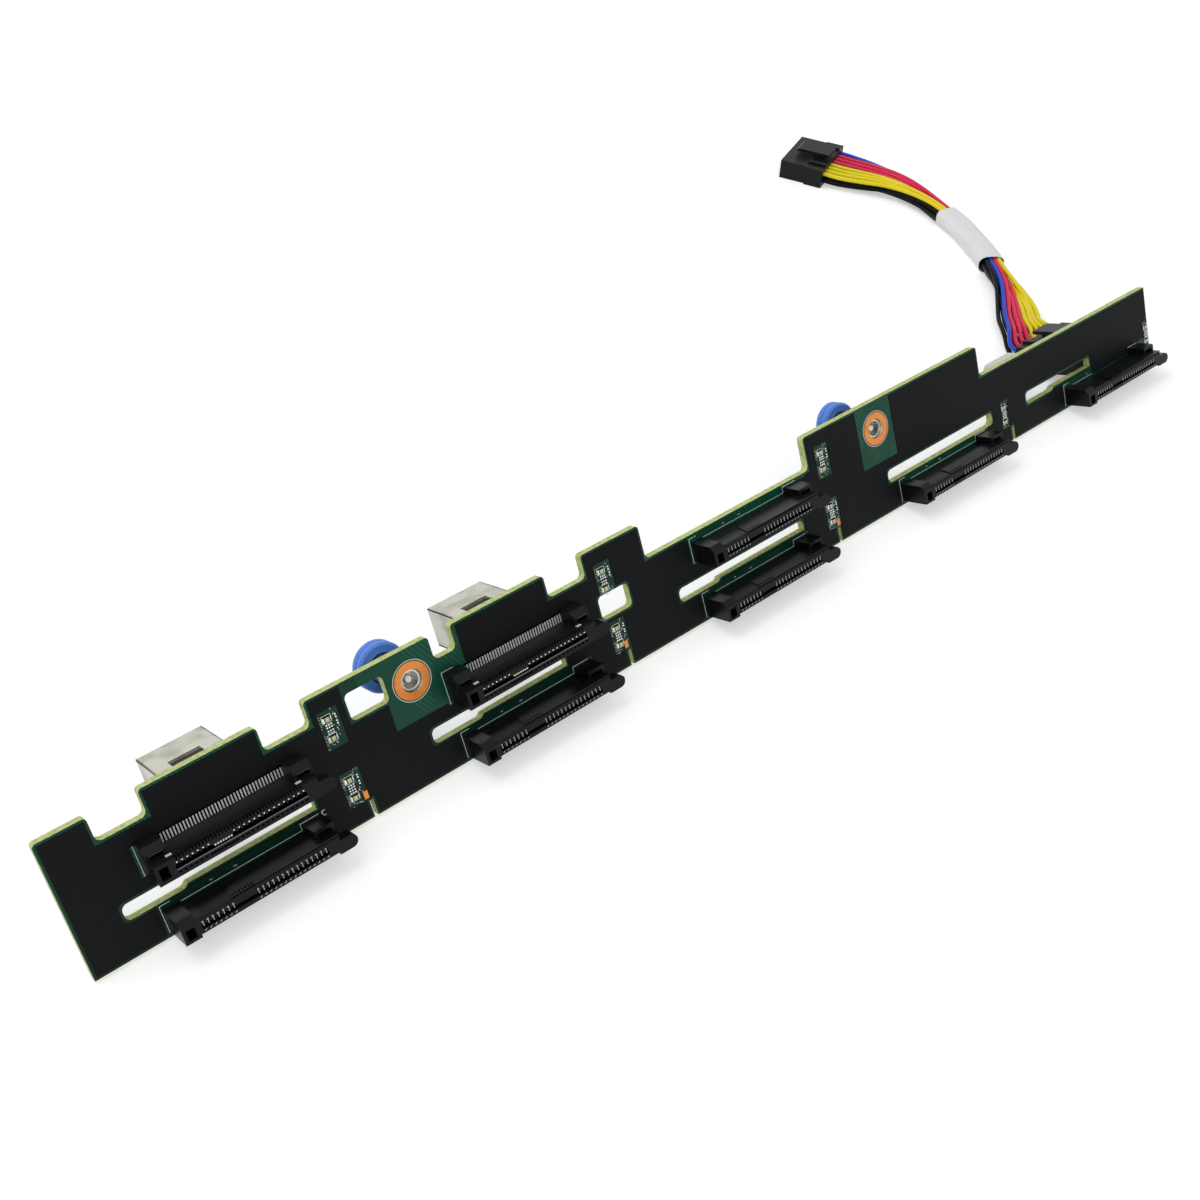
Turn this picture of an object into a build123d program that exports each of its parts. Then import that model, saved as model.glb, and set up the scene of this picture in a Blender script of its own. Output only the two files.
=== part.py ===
from build123d import *
import os
from math import atan, cos, degrees, radians, sin, tan

# A hot-swap drive backplane board with its power harness, in millimetres.
# Heights on the board run from its bottom edge, lengths from its left end and depths from its front face.

# Board and the columns of sockets along it
BOARD_LENGTH = 399.5
BOARD_THICKNESS = 2.4
COLUMNS = 5
SOCKET_START = 18.5
LAST_COLUMN_ROOM = 49.0
ROW_PITCH = 16.8
COLUMN_PITCH = (BOARD_LENGTH - SOCKET_START - LAST_COLUMN_ROOM) / (COLUMNS - 1)
COLUMN_STARTS = [SOCKET_START + COLUMN_PITCH * number for number in range(COLUMNS)]
COL_1, COL_2, COL_3, COL_4, COL_5 = COLUMN_STARTS

# Board edge
TAB_TOP = 36.0
NOTCH_FLOOR = 29.5
LOW_TOP = 26.1
TAB_1_END = COL_1 - 6.3
TAB_2_START, TAB_2_END = COL_1 + 5.7, COL_1 + 35.0
TAB_3_START, TAB_3_END = COL_1 + 47.3, COL_2 - 0.5
TAB_4_START, TAB_4_END = COL_2 + 6.1, COL_2 + 35.4
TAB_5_START, TAB_5_END = COL_2 + 47.7, COL_2 + 67.6
TAB_6_START, TAB_6_END = COL_3 + 47.7, COL_4 + 42.8
INNER_CORNER = 1.6
OUTER_CORNER = 1.0
SLIT_FROM_SOCKET = 55.1
SLIT_WIDTH = 1.0
SLIT_HEIGHT = 4.6

# Long slots between the rows as (left end, right end, step), with the place where the floor steps up
SLOT_TOP = 13.0
SLOT_FLOOR = 8.9
SLOT_STEP = 0.9
SLOT_CORNER = 1.5
STEP_FROM_SOCKET = 6.8
SLOT_1 = (COL_1 - 7.4, COL_1 + 41.6, COL_1 + STEP_FROM_SOCKET)
SLOT_2 = (COL_2 - 7.4, COL_2 + 35.1, COL_2 + STEP_FROM_SOCKET)
SLOT_3 = (COL_3 - 7.4, COL_3 + 41.6, COL_3 + STEP_FROM_SOCKET)
SLOT_4_START, SLOT_4_END = COL_4 - 4.2, COL_4 + 45.8
SLOT_5 = (COL_5 - 19.6, COL_5 + 14.9, COL_5 - 6.0)

# Insulating film
FILM_THICKNESS = 0.2
FILM_INSET = 0.7
FILM_PAST_TOWER = 3.9
LAND_1 = (COL_2 - 26.3, COL_2 + 7.4, 17.2)
LAND_2 = (COL_4 - 13.7, COL_4 + 1.6, 16.6)

# Status light windows in the film, each by left end and lower edge
LIGHT_WINDOW_WIDTH = 5.6
UPPER_LIGHT_WINDOW = (21.3, 31.7)
LOWER_LIGHT_WINDOW = (5.0, 14.6)
LIGHT_PLACES = (COL_1 + 51.4, COL_2 + 52.7, COL_3 + 53.2, COL_4 + 51.6, BOARD_LENGTH - 1.6)
LIGHT_WINDOW_SHARE = 0.12
UPPER_LIGHTS = (29.4, 24.3)
LOWER_LIGHTS = (12.4, 7.5)
SMALL_LIGHT_WIDTH = 3.4
LIGHT_SIZE = (1.7, 1.3, 0.6)
CHIP_SIZE = (1.0, 0.55, 0.4)
CHIP_STEP = 0.7
CHIP_DROP = 1.7
CHIP_SIDE = 2.3

# Drive socket with 29 contacts, from its outline on the board
SOCKET_BASE = 1.2
SOCKET_DEPTH = 9.4
FUSE = 1.0
EAR_START = 0.3
EAR_END = 4.3
EAR_TOP = 7.0
EAR_CHAMFER = 1.5
EAR_WALL = 0.9
EAR_POCKET_DEPTH = 5.5
BODY_END = 41.2
BODY_FLOOR = 1.9
BODY_TOP = 6.1
LEDGE_START = 13.2
LEDGE_SLANT = 1.1
LEDGE_BACK = 3.8
LEDGE_HEIGHT = 0.3
SIGNAL_CONTACTS, POWER_CONTACTS, FINE_CONTACTS = 7, 15, 7
CONTACT_PITCH = 1.27
FINE_PITCH = 0.8
FIRST_CONTACT = 5.5
KEY_GAP = 6.35
SLOT_MARGIN = 0.6
SLOT_LOW = 2.9
GROOVE_LOW = 3.9
GROOVE_TOP = 4.9
GROOVE_WIDTH = 0.76
GROOVE_DEPTH = 7.0
NOTCH_DEPTH = 1.3
NOTCH_HEIGHT = 0.7
NOTCH_WIDTH = 0.4
CONTACT_WIDTH = 0.42
CONTACT_THICKNESS = 0.3
CONTACT_RECESS = 0.35
TOWER_START = 36.9
TOWER_END = 42.2
TOWER_TOP = 8.3
TOWER_DEPTH = 6.2
TOWER_POCKET = 2.4
BOSS_REACH = 45.4
BOSS_HEIGHT = 3.4
BOSS_DEPTH = 3.4

# Wide drive socket with 68 contacts
WIDE_FLOOR = 0.4
WIDE_TOP = 5.2
WIDE_TOWER_TOP = 8.6
WIDE_TOWER_WIDTH = 5.0
WIDE_SLOT_LOW = 2.1
WIDE_SLOT_TOP = 3.3
WIDE_GROOVE_TOP = 4.1
WIDE_GROOVE_LOW = 1.2
FEET = 40
FEET_START = 5.7
FOOT_WIDTH = 0.34
FOOT_HEIGHT = 0.25
FOOT_END = 7.4

# Pull plungers
PLUNGER_1, PLUNGER_2 = COL_2 - 7.9, COL_4 - 5.9
PLUNGER_HEIGHT = 27.5
SLEEVE_HOLE_RADIUS = 3.0
SLEEVE_FIT = 0.03
SLEEVE_RECESS = 0.8
SLEEVE_LIP_RADIUS = 2.65
SLEEVE_BORE_RADIUS = 2.2
SLEEVE_RADIUS = 3.7
SLEEVE_FLANGE_RADIUS = 4.9
SLEEVE_FLANGE = 1.3
SLEEVE_END = 15.8
SLEEVE_END_WALL = 1.8
PIN_RADIUS = 1.15
PIN_TIP_DEPTH = 1.7
PIN_NOSE = 0.3
PIN_RUNNING_GAP = 0.05
COLLAR_START = 4.0
COLLAR_LENGTH = 1.4
SPRING_WIRE = 0.5
SPRING_TURNS = 5
SPRING_GAP = 0.15
KNOB_RADIUS = 6.7
KNOB_FRONT = 14.2
KNOB_END = 18.8
KNOB_GROOVE = 0.5
KNOB_SLEEVE_GAP = 0.4
KNOB_SEAT_GAP = 0.05
KNOB_ROUND = 0.6
KNOB_SKIN = 0.8

# Cable cages on the rear
CAGE_1, CAGE_2 = COL_1 + 11.5, COL_2 + 9.7
CAGE_WIDTH = 16.8
CAGE_TOP = 35.3
CAGE_HEIGHT = 10.8
CAGE_END = 17.0
CAGE_SHEET = 0.4
CAGE_BLOCK_DEPTH = 4.2
CAGE_BLOCK_GAP = 0.05
CAGE_TONGUE_WIDTH = 11.5
CAGE_TONGUE_HEIGHT = 1.2
CAGE_TONGUE_DEPTH = 8.6
CAGE_LATCH_START = 5.5
CAGE_LATCH_WIDTH = 9.7
CAGE_LATCH_DEPTH = 7.4
CAGE_LATCH_LENGTH = 4.6
CAGE_VENT_DEPTH = 3.6
CAGE_VENTS_APART = 6.4667
CAGE_VENT_LENGTH = 2.6
CAGE_VENT_WIDTH = 0.9

# Power connector on the rear
CIRCUITS = 8
CIRCUIT_PITCH = 3.0
POWER_CENTRE = COL_5 + 21.1
PLUG_LOW = 10.1
PLUG_HEIGHT = 7.6
PLUG_WIDTH = 24.8
PLUG_LENGTH = 18.4
PLUG_END = 24.0
COLLAR_WIDTH = 26.4
COLLAR_REACH = 7.4
CAVITY = 1.9
LATCH_WIDTH = 8.4
LATCH_THICKNESS = 1.2
LATCH_RISE = 2.8
LATCH_START = 0.8
LATCH_POST_START, LATCH_POST_END = 4.6, 7.0
LATCH_END = 15.2
RIB_WIDTH = 1.4
RIB_HEIGHT = 0.9
RIB_OFFSET = 8.6
HEADER_WALL = 1.1
HEADER_GAP = 0.15
HEADER_DEPTH = 9.9
HEADER_FLOOR = 2.4
HEADER_PIN = 0.64
HEADER_PIN_DEPTH = 8.4
RIDGE_HEIGHT = 0.2
RIDGE_LENGTH = 1.2

# Nylon signal header on the rear
SIGNAL_CENTRE = COL_5 - 13.1
SIGNAL_WIDTH = 15.0
SIGNAL_LOW = 13.4
SIGNAL_TOP = 21.6
SIGNAL_DEPTH = 12.6
SIGNAL_WALL = 1.1
SIGNAL_FLOOR = 3.0
SIGNAL_CORNER = 2.0
SIGNAL_PINS = 6
SIGNAL_PITCH = 2.0
SIGNAL_PIN = 0.5

# Windows through board and film; the first fills a share of the room between its lights and its plunger.
WINDOW_1_SHARE = (0.20493, 0.86441)
WINDOW_1_LOW, WINDOW_1_TOP = 25.4, 32.7
WINDOW_2 = (COL_2 + 49.5, COL_2 + 59.8, 15.9, 22.8)
WINDOW_CORNER = 1.4

# Harness: points on the floor as length past the power plug's middle and distance behind the board
BUNDLE_RADIUS = 4.2
LABEL_SKIN = 0.35
LABEL_START = 51.0
LABEL_LENGTH = 40.5
FLOOR_GAP = 0.05
ROUTE = [
    (-0.1, 23.0),
    (1.3, 36.5),
    (10.9, 48.5),
    (23.0, 61.2),
    (34.8, 78.6),
    (43.4, 98.2),
    (48.9, 119.0),
    (49.4, 136.5),
    (45.0, 149.0),
    (37.8, 165.4),
]
FAR_PLUG_PLACE = (39.0, 162.6)
FAR_PLUG_TURN = 23.7
BEND_SHARE = 0.45

# The board leans back until the power plug's lower rear edge meets the floor.
LEAN = degrees(atan(PLUG_LOW / (PLUG_END - BOARD_THICKNESS)))
RISE, RUN = cos(radians(LEAN)), sin(radians(LEAN))

# The origin lies on the floor under the middle of the object, between the socket mouths and the knobs.
FRONT_REACH = SOCKET_BASE * RUN - SOCKET_DEPTH * RISE
REAR_REACH = (PLUNGER_HEIGHT + KNOB_RADIUS) * RUN + KNOB_END * RISE
SHIFT = -(FRONT_REACH + REAR_REACH) / 2
FRONT = Plane(
    origin=(-BOARD_LENGTH / 2, SHIFT, BOARD_THICKNESS * RUN),
    x_dir=(1, 0, 0),
    z_dir=(0, -RISE, RUN),
)
OUT = Axis(FRONT.origin, FRONT.z_dir)
UP = Axis(FRONT.origin, FRONT.y_dir)
ALONG = Axis.X

os.makedirs("parts", exist_ok=True)


def save(piece, name):
    piece.part.label = name
    export_step(piece.part, f"parts/{name}.step")


def box_between(left, right, low, high):
    """A rectangle in the current sketch between four edges."""
    with Locations(((left + right) / 2, (low + high) / 2)):
        Rectangle(right - left, high - low)


def outline(inset):
    """The stepped board edge, moved inwards by an inset."""
    tabs = [
        (0, TAB_1_END),
        (TAB_2_START, TAB_2_END),
        (TAB_3_START, TAB_3_END),
        (TAB_4_START, TAB_4_END),
        (TAB_5_START, TAB_5_END),
        (TAB_6_START, TAB_6_END),
    ]
    box_between(inset, TAB_5_END - inset, inset, NOTCH_FLOOR - inset)
    box_between(inset, BOARD_LENGTH - inset, inset, LOW_TOP - inset)
    for left, right in tabs:
        box_between(left + inset, right - inset, inset, TAB_TOP - inset)


def slot(left, right, step, grow):
    """A long slot whose floor steps up, widened all round by a margin."""
    Polygon(
        (left - grow, SLOT_TOP + grow),
        (left - grow, SLOT_FLOOR - grow),
        (step, SLOT_FLOOR - grow),
        (step + SLOT_STEP, SLOT_FLOOR + SLOT_STEP - grow),
        (right + grow, SLOT_FLOOR + SLOT_STEP - grow),
        (right + grow, SLOT_TOP + grow),
        align=None,
    )


def slots(grow):
    """All five slots as one sketch, with rounded ends."""
    with BuildSketch(FRONT) as openings:
        for left, right, step in (SLOT_1, SLOT_2, SLOT_3, SLOT_5):
            slot(left, right, step, grow)
        box_between(SLOT_4_START - grow, SLOT_4_END + grow, SLOT_FLOOR - grow, SLOT_TOP + grow)
        rims = openings.vertices().group_by(Axis.Y)
        fillet(rims[0] + rims[-1], SLOT_CORNER)
    return openings


def windows(grow):
    """The two open windows, widened all round by a margin."""
    room_start = LIGHT_PLACES[0] + CHIP_SIDE + CHIP_SIZE[1] / 2
    room = PLUNGER_1 - SLEEVE_FLANGE_RADIUS - room_start
    window_start, window_end = [room_start + share * room for share in WINDOW_1_SHARE]
    with BuildSketch(FRONT) as openings:
        for left, right, low, high in ((window_start, window_end, WINDOW_1_LOW, WINDOW_1_TOP), WINDOW_2):
            box_between(left - grow, right + grow, low - grow, high + grow)
        fillet(openings.vertices(), WINDOW_CORNER)
    return openings


def slits(grow):
    """The narrow slits in the bottom edge, one between each two columns."""
    reach = SLIT_WIDTH / 2 + grow
    with BuildSketch(FRONT) as cuts:
        for column in (COL_1, COL_2, COL_3, COL_4):
            middle = column + SLIT_FROM_SOCKET
            box_between(middle - reach, middle + reach, -SLIT_HEIGHT, SLIT_HEIGHT + grow)
    return cuts


SLOTS, FILM_SLOTS = slots(0), slots(FILM_INSET)
WINDOWS, FILM_WINDOWS = windows(0), windows(FILM_INSET)

with BuildPart() as board:
    with BuildSketch(FRONT) as edge:
        outline(0)
        corners = edge.vertices()
        inner = corners.filter_by(lambda v: abs(v.Y - NOTCH_FLOOR) < 0.01 or abs(v.Y - LOW_TOP) < 0.01)
        fillet(inner.filter_by(lambda v: v.X < BOARD_LENGTH - INNER_CORNER), INNER_CORNER)
        fillet(edge.vertices().group_by(Axis.Y)[-1], OUTER_CORNER)
        add(slits(0).sketch_local, mode=Mode.SUBTRACT)
        add(SLOTS.sketch_local, mode=Mode.SUBTRACT)
        add(WINDOWS.sketch_local, mode=Mode.SUBTRACT)
        with Locations((PLUNGER_1, PLUNGER_HEIGHT), (PLUNGER_2, PLUNGER_HEIGHT)):
            Circle(SLEEVE_HOLE_RADIUS, mode=Mode.SUBTRACT)
    extrude(amount=-BOARD_THICKNESS)
save(board, "board")

# Sockets as (name, left line, row base, whether it is the wide kind)
SOCKETS = [(f"lower_socket_{number}", left, 0, False) for number, left in enumerate(COLUMN_STARTS, start=1)]
SOCKETS.append(("upper_socket_1", COL_1, ROW_PITCH, True))
SOCKETS.append(("upper_socket_2", COL_2, ROW_PITCH, True))
SOCKETS.append(("upper_socket_3", COL_3, ROW_PITCH, False))

# Groups of lights as (middle, window width, window's lower and upper edge, heights)
LIGHTS = []
for middle in LIGHT_PLACES[:3]:
    LIGHTS.append((middle, LIGHT_WINDOW_WIDTH, UPPER_LIGHT_WINDOW, UPPER_LIGHTS))
    LIGHTS.append((middle, LIGHT_WINDOW_WIDTH, LOWER_LIGHT_WINDOW, LOWER_LIGHTS))
for middle in LIGHT_PLACES[3:]:
    LIGHTS.append((middle, SMALL_LIGHT_WIDTH, LOWER_LIGHT_WINDOW, LOWER_LIGHTS))

with BuildPart() as film:
    with BuildSketch(FRONT) as sheet:
        outline(FILM_INSET)
        add(slits(FILM_INSET).sketch_local, mode=Mode.SUBTRACT)
        add(FILM_SLOTS.sketch_local, mode=Mode.SUBTRACT)
        add(FILM_WINDOWS.sketch_local, mode=Mode.SUBTRACT)
        with BuildSketch(mode=Mode.PRIVATE) as bare:
            for name, left, base, wide in SOCKETS:
                bottom = base + (WIDE_FLOOR if wide else SOCKET_BASE) - FILM_INSET
                top = base + (WIDE_TOWER_TOP if wide else TOWER_TOP) + FILM_INSET
                box_between(left - FILM_INSET, left + TOWER_END + FILM_PAST_TOWER, bottom, top)
            for left, right, low in (LAND_1, LAND_2):
                box_between(left, right, low, TAB_TOP)
            for middle, width, (low, high), _ in LIGHTS:
                place = middle + width * LIGHT_WINDOW_SHARE
                box_between(place - width / 2, place + width / 2, low, high)
        add(bare.sketch, mode=Mode.SUBTRACT)
    extrude(amount=FILM_THICKNESS)
save(film, "insulating_film")


def seat(left, height, depth=0.0):
    """A plane parallel to the board with its origin at a place on the board."""
    return Plane(FRONT.from_local_coords((left, height, -depth)), x_dir=FRONT.x_dir, z_dir=FRONT.z_dir)


def looking_down(place, height):
    """A plane square to the board, seen from above. Its Y runs from the socket's mouth to the rear."""
    return Plane(place.from_local_coords((0, height, 0)), x_dir=place.x_dir, z_dir=place.y_dir)


def row(first, pitch, count):
    """Evenly spaced places along a socket."""
    return [first + pitch * number for number in range(count)]


def bars(middles, width, low, high):
    """A row of equal rectangles in the current sketch."""
    for middle in middles:
        box_between(middle - width / 2, middle + width / 2, low, high)


SIGNAL_ROW = row(FIRST_CONTACT, CONTACT_PITCH, SIGNAL_CONTACTS)
POWER_ROW = row(SIGNAL_ROW[-1] + KEY_GAP, CONTACT_PITCH, POWER_CONTACTS)
KEY_MIDDLE = (SIGNAL_ROW[-1] + POWER_ROW[0]) / 2
FINE_ROW = row(KEY_MIDDLE - (FINE_CONTACTS - 1) / 2 * FINE_PITCH, FINE_PITCH, FINE_CONTACTS)
MAIN_ROW = SIGNAL_ROW + POWER_ROW
FEET_ROW = row(FEET_START, FINE_PITCH, FEET)


def guide_boss(mouth, base):
    """The profile of the round-ended guide arm at a socket's right front corner."""
    radius = BOSS_HEIGHT / 2
    with BuildSketch(mouth) as profile:
        box_between(BODY_END - FUSE, BOSS_REACH - radius, base, base + BOSS_HEIGHT)
        with Locations((BOSS_REACH - radius, base + radius)):
            Circle(radius)
    return profile


def drive_socket(left, base):
    """The housing with 29 contact places: ear, body with its comb slot, tower and guide arm."""
    place = seat(left, base)
    mouth = place.offset(SOCKET_DEPTH)
    with BuildPart() as housing:
        with BuildSketch(place):
            box_between(EAR_START, EAR_END, SOCKET_BASE, EAR_TOP)
            box_between(EAR_END - FUSE, BODY_END, BODY_FLOOR, BODY_TOP)
        extrude(amount=SOCKET_DEPTH)
        ear_rim = housing.edges().filter_by(ALONG).group_by(OUT)[-1].sort_by(UP)[-1]
        chamfer(ear_rim, EAR_CHAMFER)
        with BuildSketch(place):
            box_between(TOWER_START, TOWER_END, SOCKET_BASE, TOWER_TOP)
        extrude(amount=TOWER_DEPTH)
        add(extrude(guide_boss(mouth, SOCKET_BASE).sketch, amount=-BOSS_DEPTH, mode=Mode.PRIVATE))
        with BuildSketch(looking_down(place, BODY_TOP)):
            Polygon(
                (LEDGE_START + LEDGE_SLANT, -LEDGE_BACK),
                (LEDGE_START, -SOCKET_DEPTH),
                (BODY_END, -SOCKET_DEPTH),
                (BODY_END, -LEDGE_BACK),
                align=None,
            )
        extrude(amount=LEDGE_HEIGHT)
        with BuildSketch(mouth):
            box_between(MAIN_ROW[0] - SLOT_MARGIN, MAIN_ROW[-1] + SLOT_MARGIN, SLOT_LOW, GROOVE_LOW)
            bars(MAIN_ROW, GROOVE_WIDTH, GROOVE_LOW, GROOVE_TOP)
        extrude(amount=-GROOVE_DEPTH, mode=Mode.SUBTRACT)
        with BuildSketch(mouth):
            bars(FINE_ROW, NOTCH_WIDTH, BODY_TOP + LEDGE_HEIGHT - NOTCH_HEIGHT, BODY_TOP + LEDGE_HEIGHT)
        extrude(amount=-NOTCH_DEPTH, mode=Mode.SUBTRACT)
        with BuildSketch(mouth):
            pocket_top = EAR_TOP - EAR_CHAMFER - EAR_WALL
            box_between(EAR_START + EAR_WALL, EAR_END - EAR_WALL, BODY_FLOOR, pocket_top)
        extrude(amount=-EAR_POCKET_DEPTH, mode=Mode.SUBTRACT)
        with BuildSketch(place.offset(TOWER_DEPTH)):
            pocket_floor = BODY_TOP + LEDGE_HEIGHT
            box_between(TOWER_START + EAR_WALL, TOWER_END - EAR_WALL, pocket_floor, TOWER_TOP - EAR_WALL)
        extrude(amount=-TOWER_POCKET, mode=Mode.SUBTRACT)
    with BuildPart() as contacts:
        with BuildSketch(mouth.offset(-CONTACT_RECESS)):
            bars(MAIN_ROW, CONTACT_WIDTH, GROOVE_TOP - 2 * CONTACT_THICKNESS, GROOVE_TOP - CONTACT_THICKNESS)
        extrude(amount=CONTACT_RECESS - GROOVE_DEPTH)
    return housing, contacts


def wide_socket(left, base):
    """The taller housing with 68 contact places, with a tower at each end and its solder feet on top."""
    place = seat(left, base)
    mouth = place.offset(SOCKET_DEPTH)
    towers = (EAR_START, TOWER_END - WIDE_TOWER_WIDTH)
    with BuildPart() as housing:
        with BuildSketch(place):
            box_between(EAR_START, BODY_END, WIDE_FLOOR, WIDE_TOP)
        extrude(amount=SOCKET_DEPTH)
        with BuildSketch(place):
            for start in towers:
                box_between(start, start + WIDE_TOWER_WIDTH, WIDE_TOP - FUSE, WIDE_TOWER_TOP)
        extrude(amount=TOWER_DEPTH)
        tower_rims = housing.edges().filter_by(ALONG).group_by(UP)[-1].group_by(OUT)[-1]
        chamfer(tower_rims, EAR_CHAMFER)
        add(extrude(guide_boss(mouth, WIDE_FLOOR).sketch, amount=-BOSS_DEPTH, mode=Mode.PRIVATE))
        with BuildSketch(mouth):
            slot_start, slot_end = MAIN_ROW[0] - SLOT_MARGIN, MAIN_ROW[-1] + SLOT_MARGIN
            box_between(slot_start, slot_end, WIDE_SLOT_LOW, WIDE_SLOT_TOP)
            bars(MAIN_ROW, GROOVE_WIDTH, WIDE_SLOT_TOP, WIDE_GROOVE_TOP)
            bars(MAIN_ROW + FINE_ROW, GROOVE_WIDTH, WIDE_GROOVE_LOW, WIDE_SLOT_LOW)
        extrude(amount=-GROOVE_DEPTH, mode=Mode.SUBTRACT)
        with BuildSketch(mouth):
            bars(FEET_ROW, NOTCH_WIDTH, WIDE_TOP - NOTCH_HEIGHT, WIDE_TOP)
        extrude(amount=-NOTCH_DEPTH, mode=Mode.SUBTRACT)
        with BuildSketch(mouth):
            box_between(EAR_START + EAR_WALL, EAR_END - EAR_WALL, WIDE_FLOOR + EAR_WALL, WIDE_TOP - EAR_WALL)
        extrude(amount=-EAR_POCKET_DEPTH, mode=Mode.SUBTRACT)
        with BuildSketch(place.offset(TOWER_DEPTH)):
            for start in towers:
                box_between(
                    start + EAR_WALL,
                    start + WIDE_TOWER_WIDTH - EAR_WALL,
                    WIDE_TOP + EAR_WALL / 2,
                    WIDE_TOWER_TOP - EAR_CHAMFER - EAR_WALL / 2,
                )
        extrude(amount=-TOWER_POCKET, mode=Mode.SUBTRACT)
    with BuildPart() as contacts:
        with BuildSketch(mouth.offset(-CONTACT_RECESS)):
            bars(MAIN_ROW, CONTACT_WIDTH, WIDE_GROOVE_TOP - CONTACT_THICKNESS, WIDE_GROOVE_TOP)
        extrude(amount=CONTACT_RECESS - GROOVE_DEPTH)
        with BuildSketch(place):
            bars(FEET_ROW, FOOT_WIDTH, WIDE_TOP, FOOT_END)
        extrude(amount=FOOT_HEIGHT)
    return housing, contacts


for name, left, base, wide in SOCKETS:
    housing, contacts = wide_socket(left, base) if wide else drive_socket(left, base)
    save(housing, name)
    save(contacts, f"{name}_contacts")


def revolved(place, points):
    """A turned piece from its half section, given as radius and depth behind the front face."""
    half_plane = Plane(place.origin, x_dir=place.x_dir, z_dir=place.y_dir)
    with BuildPart() as turned:
        with BuildSketch(half_plane):
            Polygon(*points, align=None)
        revolve(axis=Axis(place.origin, place.z_dir))
    return turned


def plunger(name, left):
    """Sleeve, pin, spring and knob of one pull plunger, all on one axis through the board."""
    place = seat(left, PLUNGER_HEIGHT)
    spigot = SLEEVE_HOLE_RADIUS - SLEEVE_FIT
    bore_end = SLEEVE_END - SLEEVE_END_WALL
    shank_bore = PIN_RADIUS + PIN_RUNNING_GAP
    lip = spigot - SLEEVE_LIP_RADIUS
    sleeve = revolved(
        place,
        [
            (SLEEVE_BORE_RADIUS, SLEEVE_RECESS),
            (SLEEVE_LIP_RADIUS, SLEEVE_RECESS),
            (spigot, SLEEVE_RECESS + lip),
            (spigot, BOARD_THICKNESS),
            (SLEEVE_FLANGE_RADIUS, BOARD_THICKNESS),
            (SLEEVE_FLANGE_RADIUS, BOARD_THICKNESS + SLEEVE_FLANGE),
            (SLEEVE_RADIUS, BOARD_THICKNESS + SLEEVE_FLANGE),
            (SLEEVE_RADIUS, SLEEVE_END),
            (shank_bore, SLEEVE_END),
            (shank_bore, bore_end),
            (SLEEVE_BORE_RADIUS, bore_end),
        ],
    )
    save(sleeve, f"plunger_sleeve_{name}")
    knob_seat = SLEEVE_END + KNOB_SEAT_GAP
    pin_end = KNOB_END - KNOB_SKIN
    collar_radius = SLEEVE_BORE_RADIUS - PIN_RUNNING_GAP
    pin = revolved(
        place,
        [
            (0, PIN_TIP_DEPTH),
            (PIN_RADIUS - PIN_NOSE, PIN_TIP_DEPTH),
            (PIN_RADIUS, PIN_TIP_DEPTH + PIN_NOSE),
            (PIN_RADIUS, COLLAR_START),
            (collar_radius, COLLAR_START),
            (collar_radius, COLLAR_START + COLLAR_LENGTH),
            (PIN_RADIUS, COLLAR_START + COLLAR_LENGTH),
            (PIN_RADIUS, pin_end),
            (0, pin_end),
        ],
    )
    save(pin, f"plunger_pin_{name}")
    cup = SLEEVE_RADIUS + KNOB_SLEEVE_GAP
    middle = (KNOB_FRONT + KNOB_END) / 2
    knob = revolved(
        place,
        [
            (cup, KNOB_FRONT),
            (KNOB_RADIUS - KNOB_ROUND, KNOB_FRONT),
            (KNOB_RADIUS, KNOB_FRONT + KNOB_ROUND),
            (KNOB_RADIUS, middle - KNOB_GROOVE),
            (KNOB_RADIUS - KNOB_GROOVE, middle),
            (KNOB_RADIUS, middle + KNOB_GROOVE),
            (KNOB_RADIUS, KNOB_END - KNOB_ROUND),
            (KNOB_RADIUS - KNOB_ROUND, KNOB_END),
            (0, KNOB_END),
            (0, pin_end),
            (PIN_RADIUS, pin_end),
            (PIN_RADIUS, knob_seat),
            (cup, knob_seat),
        ],
    )
    save(knob, f"plunger_knob_{name}")
    first = COLLAR_START + COLLAR_LENGTH + SPRING_WIRE / 2
    last = bore_end - SPRING_WIRE / 2
    coil_radius = SLEEVE_BORE_RADIUS - SPRING_GAP - SPRING_WIRE / 2
    with BuildPart() as spring:
        with BuildLine() as coil:
            Helix(
                pitch=(last - first) / SPRING_TURNS,
                height=last - first,
                radius=coil_radius,
                center=place.offset(-first).origin,
                direction=-place.z_dir,
            )
        with BuildSketch(Plane(coil.line @ 0, z_dir=coil.line % 0)):
            Circle(SPRING_WIRE / 2)
        sweep(is_frenet=True)
    save(spring, f"plunger_spring_{name}")


plunger("left", PLUNGER_1)
plunger("right", PLUNGER_2)


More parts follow.
